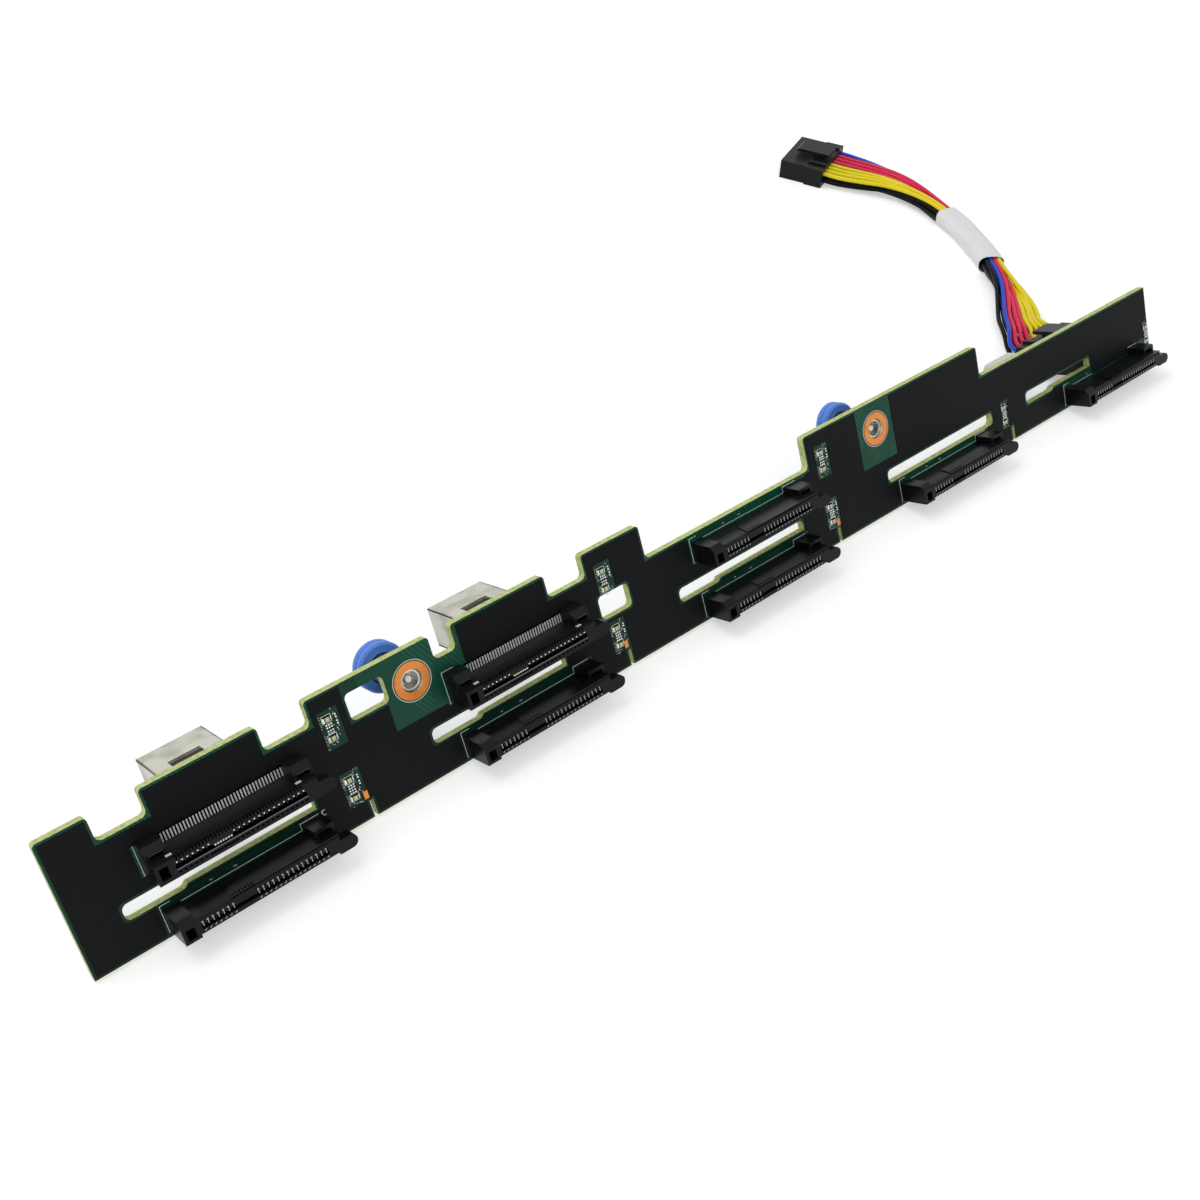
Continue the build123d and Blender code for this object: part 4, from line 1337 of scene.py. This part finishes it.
@dataclass
class BoardPrint:
    """What is printed, plated and soldered on the board's front face.

    Its sizes are millimetres on the board. A rectangle is given by its left, right, lower and upper edge, a
    stroke by the places of its two ends, and a raised box by half its width, half its height and its top.
    The ranges of the ticks are the lowest and the highest place beside a light, and then their lengths.
    """

    line: float = 0.16
    ink_height: float = 0.03
    over_film: float = 0.23
    hole: float = 3.0
    ring: float = 4.95
    ring_height: float = 0.04
    outline: float = 5.45
    outline_width: float = 0.2
    light_columns: tuple[float, ...] = (69.9, 154.2, 237.7, 319.1, 397.9)
    full_columns: int = 3
    upper_lights: Place = (29.4, 24.3)
    lower_lights: Place = (12.4, 7.5)
    light_box: Place = (2.5, 1.9)
    chip_drop: float = 1.75
    chip_step: float = 0.65
    chip_side: float = 2.3
    chip_end: float = 0.34
    chip_body: Triple = (0.16, 0.16, 0.35)
    chip_solder: Triple = (0.19, 0.18, 0.36)
    light_end: float = 0.98
    light_body: Triple = (0.9, 0.62, 0.4)
    light_lens: Triple = (0.52, 0.5, 0.6)
    left_solder: Triple = (0.2, 0.6, 0.42)
    right_solder: Triple = (0.12, 0.45, 0.3)
    pads: tuple[Place, ...] = ((72.7, 6.6), (156.0, 6.6), (239.7, 6.3))
    pad: Triple = (0.6, 1.05, 0.22)
    small_strokes: tuple[Area, ...] = (
        (0.0, 1.2, 0.0, 8.2), (5.0, 6.8, 36.5, 6.8), (36.5, 6.8, 36.5, 8.6),
        (0.0, 8.2, 2.6, 8.2), (12.5, 7.7, 13.1, 7.7), (18.6, 7.7, 19.4, 7.7),
    )
    wide_strokes: tuple[Area, ...] = ((0.0, -0.1, 0.0, 8.7), (0.0, 8.7, 3.5, 8.7))
    step_stroke: Area = (36.5, 8.6, 41.4, 8.6)
    bracket: tuple[Area, ...] = ((42.3, 42.6, 7.4, 8.9), (42.3, 43.3, 7.4, 7.6), (42.3, 43.3, 8.7, 8.9))
    tick_seed: int = 5
    flat_ticks: int = 7
    flat_ranges: tuple[Place, Place, Place] = ((-2.0, -2.5), (1.7, -1.25), (0.25, 0.5))
    flat_width: float = 0.12
    tall_ticks: int = 6
    tall_ranges: tuple[Place, Place, Place] = ((1.5, -1.6), (2.7, 2.2), (0.3, 0.6))
    tall_width: float = 0.13
    side_tick: Area = (-1.9, -1.6, 0.0, 0.14)
    side_ticks: tuple[float, ...] = (-1.4, -0.9, -0.3, 0.4, 1.0)

    def stroke(self, x0: float, y0: float, x1: float, y1: float) -> Area:
        """A straight printed line along or up the board, as a rectangle."""
        half = self.line / 2
        return (min(x0, x1) - half, max(x0, x1) + half, min(y0, y1) - half, max(y0, y1) + half)

    def box_round(self, x: float, y: float) -> list[Area]:
        """Four strokes that box in a light.

        Args:
            x: The light's place along the board.
            y: The light's place up the board.

        Returns:
            The lower, upper, left and right stroke.
        """
        wide, high = self.light_box
        left, right, low, top = x - wide / 2, x + wide / 2, y - high / 2, y + high / 2
        level = [self.stroke(left, height, right, height) for height in (low, top)]
        return level + [self.stroke(side, low, side, top) for side in (left, right)]

    def pairs(self) -> list[tuple[float, Place, bool]]:
        """Finds the pairs of status lights: a lower one in each column, and an upper one in a full column.

        Returns:
            For each pair, its column's place, the two heights and whether its column is a full one.
        """
        pairs = []
        for number, x in enumerate(self.light_columns):
            full = number < self.full_columns
            pairs.append((x, self.lower_lights, full))
            if full:
                pairs.append((x, self.upper_lights, full))
        return pairs

    def lights(self) -> list[Place]:
        """The places of all status lights."""
        return [(x, y) for x, heights, _ in self.pairs() for y in heights]

    def chips(self) -> list[Place]:
        """Finds the places of the small resistors between two lights, and of those beside them.

        Returns:
            Two rows of three for each pair of lights, and in a full column two more to the right.
        """
        places = []
        for x, (upper, lower), full in self.pairs():
            rows = (upper - self.chip_drop, lower + self.chip_drop)
            places += [(x + step, y) for y in rows for step in (-self.chip_step, 0.0, self.chip_step)]
            places += [(x + self.chip_side, y) for y in (upper, rows[0]) if full]
        return places

    def outlines(self) -> list[Area]:
        """The printed lines round the sockets and lights.

        Returns:
            Their rectangles.
        """
        areas = []
        for corners, strokes in ((LAYOUT.small, self.small_strokes), (LAYOUT.wide, self.wide_strokes)):
            for left, base in corners:
                moved = [(left + x0, base + y0, left + x1, base + y1) for x0, y0, x1, y1 in strokes]
                areas += [self.stroke(*ends) for ends in moved]
        for x, y in self.lights():
            areas += self.box_round(x, y)
        return areas

    def ticks(self) -> list[Area]:
        """Small marks beside the lights, placed at random from a fixed start.

        Returns:
            Their rectangles: level ones below a light, upright ones to its right and a ladder to its left.
        """
        random = np.random.default_rng(self.tick_seed)
        left, right, low, top = self.side_tick
        areas = []
        for x, y in self.lights():
            lowest, highest, lengths = self.flat_ranges
            for across, rise in random.uniform(lowest, highest, (self.flat_ticks, 2)):
                long = random.uniform(*lengths)
                areas.append((x + across, x + across + long, y + rise, y + rise + self.flat_width))
            lowest, highest, lengths = self.tall_ranges
            for across, rise in random.uniform(lowest, highest, (self.tall_ticks, 2)):
                long = random.uniform(*lengths)
                areas.append((x + across, x + across + self.tall_width, y + rise, y + rise + long))
            heights = [y + rise for rise in self.side_ticks]
            areas += [(x + left, x + right, height + low, height + top) for height in heights]
        return areas

    def brackets(self) -> list[Area]:
        """Printed strokes that reach over the film.

        Returns:
            The rectangles of a step line above each small socket, and of a bracket beside the first one.
        """
        x0, y0, x1, y1 = self.step_stroke
        areas = [self.stroke(left + x0, base + y0, left + x1, base + y1) for left, base in LAYOUT.small]
        left = LAYOUT.first_socket
        return areas + [(left + start, left + end, low, top) for start, end, low, top in self.bracket]

    def build(self) -> None:
        """Makes the print and the copper, and then the lights and resistors."""
        ink = [
            slabs(self.outlines() + self.ticks(), 0.0, self.ink_height),
            slabs(self.brackets(), 0.0, self.over_film),
        ]
        copper = [self.raised(np.array(self.pads), self.pad)]
        for middle in LAYOUT.plungers:
            ink.append(collar(middle, self.outline - self.outline_width, self.outline, 0.0, self.ink_height))
            copper.append(collar(middle, self.hole, self.ring, 0.0, self.ring_height))
        make_piece("board_print", Surface.joined(ink), [Look.ink])
        make_piece("board_copper", Surface.joined(copper), [Look.copper])
        self.build_lights()
        self.build_resistors()

    def build_lights(self) -> None:
        """Makes the status lights: a dark body with a pale lens on it, and solder at both ends."""
        spots, end = np.array(self.lights()), (self.light_end, 0)
        surface = Surface.joined([
            self.raised(spots, self.light_body),
            self.raised(spots, self.light_lens, 1, low=self.light_body[-1]),
            self.raised(spots - end, self.left_solder, 2),
            self.raised(spots + end, self.right_solder, 2),
        ])
        lights = make_piece("lights_dressed", surface, [Look.chip, Look.lens, Look.solder])
        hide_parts("status_lights")

    def build_resistors(self) -> None:
        """Makes the small resistors: a dark body, and solder below and above it."""
        chips, end = np.array(self.chips()), (0, self.chip_end)
        ends = np.concatenate([chips - end, chips + end])
        body, solder = self.raised(chips, self.chip_body), self.raised(ends, self.chip_solder, 1)
        resistors = make_piece("resistors_dressed", Surface.joined([body, solder]), [Look.chip, Look.solder])
        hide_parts("light_resistors")

    @staticmethod
    def raised(spots: np.ndarray, size: Triple, finish: int = 0, low: float = 0.0) -> Surface:
        """Makes a box round each place.

        Args:
            spots: The places on the board.
            size: Half a box's width, half its height up the board, and its top over the front face.
            finish: The number of the finish on all faces.
            low: The height of the underside over the front face.

        Returns:
            All boxes as one surface.
        """
        wide, high, top = size
        x, y = spots.T
        return slabs(np.stack([x - wide, x + wide, y - high, y + high], -1), low, top, finish)


@dataclass
class SocketTrim:
    """The fine parts of the eight sockets: contact tips and strokes painted pale as glints, a black comb
    painted as the shade in the grooves, rim and lip lines as painted highlights, small tabs and the ground
    of the feet.

    A range holds the lower and upper x, y and z of a box in millimetres, from the socket's lower left
    corner. In the comb and its strokes, x starts from each contact's middle.
    """

    pitch: float = 1.27
    signal_start: float = 5.5
    signal_contacts: int = 7
    power_gap: float = 6.35
    power_contacts: int = 15
    fine_pitch: float = 0.67
    fine_gap: float = 1.4
    fine_contacts: int = 7
    # Flat black bars at each contact: painted shade in the comb's grooves.
    comb: tuple[Range, ...] = (
        (-0.34, 0.34, 2.1, 2.92, 9.39, 9.41),
        (0.515, 0.755, 2.92, 4.9, 9.1, 9.38),
    )
    # Pale strokes on the contacts: painted glints.
    strokes: tuple[Range, ...] = (
        (-0.1, 0.1, 3.5, 4.8, 9.1, 9.3),
        (-0.3, 0.1, 2.35, 2.55, 9.41, 9.43),
        (0.06, 0.22, 2.35, 2.8, 9.41, 9.43),
    )
    # Thin grey strips along the small sockets' edges: painted highlights.
    rim_highlights: tuple[Range, ...] = (
        (13.2, 41.2, 6.39, 6.42, 9.3, 9.41),
        (4.6, 13.0, 6.09, 6.12, 9.3, 9.41),
        (37.6, 41.4, 7.45, 7.52, 6.2, 6.25),
    )
    lips: tuple[Range, ...] = ((4.9, 37.9, 1.65, 2.12, 9.1, 9.41),)
    tabs: tuple[Range, ...] = ((4.2, 5.6, 5.2, 5.32, 6.6, 7.5), (36.8, 38.2, 5.2, 5.32, 6.6, 7.5))
    ground: tuple[Range, ...] = ((5.2, 37.6, 4.9, 7.9, 0.0, 0.03),)
    # Pale lines along the wide sockets' lips and ears: painted highlights.
    lines: tuple[Range, ...] = (
        (4.9, 37.9, 2.1, 2.22, 9.1, 9.42),
        (1.2, 4.4, 6.7, 6.76, 6.2, 6.25),
        (38.1, 41.3, 6.7, 6.76, 6.2, 6.25),
    )
    # The tips are balls painted near white as their glint.
    tip_radius: float = 0.28
    tip_depth: float = 9.2
    tip_height: float = 3.9
    fine_tip_height: float = 3.0

    def rows(self) -> tuple[np.ndarray, np.ndarray]:
        """Finds where the contacts lie along a socket: each row's start and its pitch times a number.

        Returns:
            The middles of the two main groups, and those of the fine group between them.
        """
        signal = self.signal_start + self.pitch * np.arange(self.signal_contacts)
        power = signal[-1] + self.power_gap + self.pitch * np.arange(self.power_contacts)
        fine = signal[-1] + self.fine_gap + self.fine_pitch * np.arange(self.fine_contacts)
        return np.concatenate([signal, power]), fine

    @staticmethod
    def carried(
        ranges: tuple[Range, ...], corners: list[Place], shifts: Sequence[float] = (0.0,)
    ) -> np.ndarray:
        """Carries each range to each corner, and from there along by each shift.

        Args:
            ranges: The boxes.
            corners: The places on the board that they are moved by.
            shifts: How much further along the board each copy is moved.

        Returns:
            The moved boxes, as rows.
        """
        boxes, places = np.array(ranges)[:, None], np.array(corners)[:, None, None]
        moves = np.zeros((len(corners), 1, len(shifts), boxes.shape[-1]))
        moves[..., 0:2] = places[..., :1] + np.array(shifts)[:, None]
        moves[..., 2:4] = places[..., 1:]
        return (moves + boxes).reshape(-1, boxes.shape[-1])

    def tips(self) -> np.ndarray:
        """Finds the wide sockets' contact tips: the main rows high and the fine row low, at one depth.

        Returns:
            Their middles, as rows of x, y and z on the board.
        """
        places = []
        for left, base in LAYOUT.wide:
            for along, height in zip(self.rows(), (self.tip_height, self.fine_tip_height)):
                level = np.full(len(along), base + height)
                places.append(np.stack([left + along, level, np.full(len(along), self.tip_depth)], -1))
        return np.concatenate(places)

    def build(self) -> None:
        """Makes all fine parts as one piece."""
        main, _ = self.rows()
        parts = (
            (Look.dark, self.carried(self.comb, LAYOUT.small, main)),
            (Look.rim_highlight, self.carried(self.rim_highlights, LAYOUT.small)),
            (Look.socket, self.carried(self.lips, LAYOUT.wide)),
            (Look.nylon, self.carried(self.tabs, LAYOUT.wide)),
            (Look.dark, self.carried(self.ground, LAYOUT.wide)),
            (Look.stroke, self.carried(self.strokes, LAYOUT.small, main)),
            (Look.line, self.carried(self.lines, LAYOUT.wide)),
        )
        surfaces = [beads(self.tips(), self.tip_radius)]
        surfaces += [blocks(ranges, number) for number, (_, ranges) in enumerate(parts, start=1)]
        make_piece("socket_trim", Surface.joined(surfaces), [Look.tip_glint] + [finish for finish, _ in parts])


@dataclass
class FilmEdges:
    """Strips of film that come close to the towers and the feet of the sockets.

    A strip is given by its left, right, lower and upper edge, in millimetres from its socket's corner.
    """

    thickness: float = 0.19
    between_wide: Area = (56.7, 67.2, 0.4, 7.9)
    above_wide: tuple[Area, ...] = ((-0.7, 46.1, 7.9, 9.3), (7.4, 46.1, 7.9, 9.3))
    beside_lower: Area = (43.1, 46.1, 0.5, 9.0)
    beside_wide: Area = (43.1, 46.1, -0.3, 8.0)
    beside_upper: Area = (43.1, 46.1, 0.5, 8.1)
    above_last: tuple[Area, ...] = ((15.7, 37.1, 6.7, 10.6), (37.1, 43.7, 8.8, 10.6))

    def strips(self) -> list[Area]:
        """Lays each strip out from the lower left corner of its socket.

        Returns:
            The rectangles of all strips.
        """
        *lower, last, upper = LAYOUT.small
        placed = list(zip(LAYOUT.wide, self.above_wide))
        placed.append((LAYOUT.wide[0], self.between_wide))
        placed += [(corner, self.beside_lower) for corner in lower]
        placed += [(corner, self.beside_wide) for corner in LAYOUT.wide]
        placed.append((upper, self.beside_upper))
        placed += [(last, strip) for strip in self.above_last]
        return [(left + x0, left + x1, base + y0, base + y1) for (left, base), (x0, x1, y0, y1) in placed]

    def build(self) -> None:
        """Makes the strips as one piece."""
        make_piece("film_edges", slabs(self.strips(), 0.0, self.thickness), [Look.film])


@dataclass
class Cages:
    """The two folded metal cages behind the board, each with a window over a sprung leaf.

    The window has its start and end along the cage and its far and near edge behind the board's front.
    """

    left_ends: tuple[tuple[str, float], ...] = (("left", 30.0), ("right", 111.2))
    width: float = 16.8
    low: float = 24.5
    top: float = 35.3
    near: float = -2.4
    far: float = -17.0
    sheet: float = 0.4
    window: Area = (3.8, 12.4, -7.2, -3.0)
    leaf_margin: float = 0.4
    leaf_sink: Place = (0.5, 0.2)
    fold_out: float = 0.3
    fold_in: float = 0.25
    fold_sink: float = 0.2
    fold_rise: float = 0.05
    notches: tuple[Place, ...] = ((4.7, 7.5), (10.2, 12.5))
    notch_depth: float = 0.45
    notch_sink: float = 0.08
    notch_floor: float = 0.05

    def walls(self, left: float) -> np.ndarray:
        """Lays out the four walls; the top one goes round its window and its two notches.

        Args:
            left: Where the cage starts along the board.

        Returns:
            The ranges of the sheets.
        """
        right, sheet = left + self.width, self.sheet
        start, end, deep, near = self.window
        under, back = self.top - sheet, self.far + self.notch_depth
        rows = [
            (left, left + sheet, self.low, self.top, self.far, self.near),
            (right - sheet, right, self.low, self.top, self.far, self.near),
            (left, right, self.low, self.low + sheet, self.far, self.near),
            (left, right, under, self.top, near, self.near),
            (left, left + start, under, self.top, deep, near),
            (left + end, right, under, self.top, deep, near),
            (left, right, under, self.top, back, deep),
        ]
        places = [0.0] + [edge for notch in self.notches for edge in notch] + [self.width]
        for first, last in zip(places[::2], places[1::2]):
            rows.append((left + first, left + last, under, self.top, self.far, back))
        return np.array(rows)

    def fittings(self, left: float) -> tuple[list[Range], list[Range], list[Range]]:
        """Lays out what is seen in the window and at the notches.

        Args:
            left: Where the cage starts along the board.

        Returns:
            The ranges of the leaf under the window, of the bright folds at its ends and of the notches'
            painted shade.
        """
        start, end, deep, near = self.window
        start, end, under, margin = left + start, left + end, self.top - self.sheet, self.leaf_margin
        low, high = (under - sink for sink in self.leaf_sink)
        leaf = [(start - margin, end + margin, low, high, deep - margin, near + margin)]
        rise = (under - self.fold_sink, self.top + self.fold_rise, deep, near)
        folds = [
            (start - self.fold_out, start + self.fold_in, *rise),
            (end - self.fold_in, end + self.fold_out, *rise),
        ]
        # Black blocks fill the notches as painted shade.
        back = (under, self.top - self.notch_sink, self.far + self.notch_floor, self.far + self.notch_depth)
        return leaf, folds, [(left + first, left + last, *back) for first, last in self.notches]

    def build(self) -> None:
        """Makes each cage over its solid."""
        finishes = [Look.cage, Look.spring_leaf, Look.ink, Look.dark]
        for side, left in self.left_ends:
            ranges = (self.walls(left), *self.fittings(left))
            surface = Surface.joined([blocks(rows, number) for number, rows in enumerate(ranges)])
            cage = make_piece(f"cage_{side}", surface, finishes)
            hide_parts(f"cable_cage_{side}")


@dataclass
class PlungerSprings:
    """The two plungers' coil springs at one length; the real ones shorten as a knob is pulled. Sizes are
    millimetres.
    """

    sides: tuple[str, ...] = ("left", "right")
    near: float = 5.4
    far: float = 14.0
    coil_radius: float = 1.8
    wire: float = 0.25
    wire_sides: int = 10
    turns: int = 5
    turn_steps: int = 48
    travel: float = 3.8

    def coil(self, x: float, y: float) -> Surface:
        """A round wire whose middle goes round the plunger's axis while its depth grows evenly.

        Args:
            x: The axis's place along the board.
            y: The axis's place up the board.

        Returns:
            A closed coil.
        """
        steps = self.turns * self.turn_steps
        turn = np.linspace(0, 2 * math.pi * self.turns, steps)[:, None]
        angle = full_turn(self.wire_sides)[None]
        reach = self.coil_radius + self.wire * np.cos(angle)
        share = turn / (2 * math.pi * self.turns)
        middle = self.near + self.wire + (self.far - self.near - 2 * self.wire) * share
        place = [x + reach * np.cos(turn), y + reach * np.sin(turn), self.wire * np.sin(angle) - middle]
        points = BOARD.place(np.stack(place, -1).reshape(-1, 3))
        return Surface.plain(points, capped_faces(steps, self.wire_sides))

    def build(self) -> None:
        """Makes each spring with a mesh of its own, in place of the solid's spring."""
        for side, (x, y) in zip(self.sides, LAYOUT.plungers):
            spring = make_piece(f"spring_{side}", self.coil(x, y), [Look.spring], smooth=True)
            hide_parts(f"plunger_spring_{side}")
            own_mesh(spring)


class Dresser:
    """Gives every carried-over solid its finish."""

    finishes: dict[str, Finish] = {
        "board": Look.laminate,
        "insulating_film": Look.film,
        "plunger_sleeve": Look.turned,
        "plunger_pin": Look.turned,
        "plunger_knob": Look.knob,
        "plunger_spring": Look.spring,
        "cable_cage": Look.cage,
        "cage_contact_block": Look.plug,
        "power_header_pins": Look.gold,
        "power_header": Look.plug,
        "power_plug": Look.plug,
        "far_plug": Look.plug,
        "signal_header_pins": Look.contact,
        "signal_header": Look.nylon,
        "status_lights": Look.lens,
        "light_resistors": Look.chip,
        "power_harness": WireColour.BLACK.finish,
        "cable_label": Look.label,
    }
    wide_sockets: tuple[str, ...] = ("upper_socket_1", "upper_socket_2")

    def finish_of(self, node: str) -> Finish:
        """Finds the finish of a solid.

        Args:
            node: The solid's name.

        Returns:
            The finish of its kind, by the longest start of a name that fits.
        """
        if "socket" in node:
            if not node.endswith("_contacts"):
                return Look.socket
            return Look.wide_contact if node.startswith(self.wide_sockets) else Look.contact
        matches = [start for start in self.finishes if node.startswith(start)]
        return self.finishes[max(matches, key=len)]

    def build(self) -> None:
        """Puts the finishes on all solids."""
        for name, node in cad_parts.items():
            finish = self.finish_of(name)
            node.data.materials.clear()
            node.data.materials.append(finish.material())
            LOG.info("%s: %s", name, finish.name)


@dataclass
class Studio:
    """The floor, the soft lamps, the white surroundings and the camera.

    A lamp has its place and its width in metres, and its power in watts.
    """

    camera_place: Triple = (-0.23545, -0.21006, 0.28328)
    look: Triple = (0.4887, 0.5414, -0.6842)
    up: Triple = (0.4224, 0.5394, 0.7284)
    lens: float = 43.56
    sensor: float = 36.0
    sky: float = 0.5
    floor_glow: float = 0.42
    floor_reach: float = 4.0
    lamps: tuple[tuple[Triple, float, float], ...] = (
        ((-0.35, 0.55, 1.15), 1.1, 5.2),
        ((-0.7, -0.9, 0.9), 0.9, 2.6),
    )

    @staticmethod
    def white_seen(graph: Graph) -> Socket:
        """Tells apart what the camera sees straight, in a gloss or through glass from all other light.

        Args:
            graph: The material's or the world's graph.

        Returns:
            One for what is seen, and nought for other light.
        """
        path = graph.add("ShaderNodeLightPath")
        seen = graph.maths("MAXIMUM", path.outputs["Is Camera Ray"], path.outputs["Is Glossy Ray"])
        return graph.maths("MAXIMUM", seen, path.outputs["Is Transmission Ray"])

    def build_floor(self) -> None:
        """A plain pale floor that keeps the object's soft shadow."""
        mesh, reach = bpy.data.meshes.new("studio_floor"), self.floor_reach
        corners = [(-reach, -reach, 0), (reach, -reach, 0), (reach, reach, 0), (-reach, reach, 0)]
        mesh.from_pydata(corners, [], [(0, 1, 2, 3)])
        floor = bpy.data.objects.new("studio_floor", mesh)
        bpy.context.scene.collection.objects.link(floor)
        material = bpy.data.materials.new("studio_floor")
        material.use_nodes = True
        graph = Graph(material.node_tree)
        shader = material.node_tree.nodes["Principled BSDF"]
        shader.inputs["Base Color"].default_value = tint(242, 242, 242)
        shader.inputs["Roughness"].default_value = 0.9
        shader.inputs["Specular IOR Level"].default_value = 0.1
        shader.inputs["Emission Color"].default_value = (1, 1, 1, 1)
        glow = graph.product(self.white_seen(graph), self.floor_glow)
        graph.feed(shader.inputs["Emission Strength"], glow)
        mesh.materials.append(material)

    def build_lamps(self) -> None:
        """Broad soft lamps, each turned towards the model's origin."""
        for number, (place, size, power) in enumerate(self.lamps):
            lamp = bpy.data.lights.new(f"studio_lamp_{number}", "AREA")
            lamp.shape, lamp.size, lamp.energy = "DISK", size, power
            holder = bpy.data.objects.new(lamp.name, lamp)
            holder.location = place
            holder.rotation_euler = (-Vector(place)).to_track_quat("-Z", "Y").to_euler()
            bpy.context.scene.collection.objects.link(holder)

    def build_world(self) -> None:
        """Even light from all round, which shows white to the camera."""
        world = bpy.data.worlds.new("studio_world")
        bpy.context.scene.world = world
        world.use_nodes = True
        graph = Graph(world.node_tree)
        background = world.node_tree.nodes["Background"]
        strength = graph.maths("MAXIMUM", self.white_seen(graph), self.sky)
        graph.feed(background.inputs["Strength"], strength)
        background.inputs["Color"].default_value = (1, 1, 1, 1)

    def build_camera(self) -> None:
        """The camera, at the photograph's angle."""
        data = bpy.data.cameras.new("studio_camera")
        data.sensor_fit, data.sensor_width, data.lens = "HORIZONTAL", self.sensor, self.lens
        data.clip_start = 0.01
        camera = bpy.data.objects.new("studio_camera", data)
        bpy.context.scene.collection.objects.link(camera)
        back = -Vector(self.look).normalized()
        right = Vector(self.up).cross(back).normalized()
        turn = Matrix((right, back.cross(right), back)).transposed()
        camera.matrix_world = Matrix.Translation(self.camera_place) @ turn.to_4x4()
        bpy.context.scene.camera = camera

    def build(self) -> None:
        """Sets up the studio."""
        bpy.context.scene.view_settings.view_transform = "Standard"
        self.build_camera()
        self.build_world()
        self.build_lamps()
        self.build_floor()


def main() -> None:
    """Builds the studio, all sub-assemblies and the finishes of the solids."""
    logging.basicConfig(level=logging.INFO, format="%(message)s")
    for kind in (Studio, Harness, BoardPrint, SocketTrim, FilmEdges, Cages, PlungerSprings, Dresser):
        kind().build()
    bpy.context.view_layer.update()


if __name__ == "__main__":
    main()
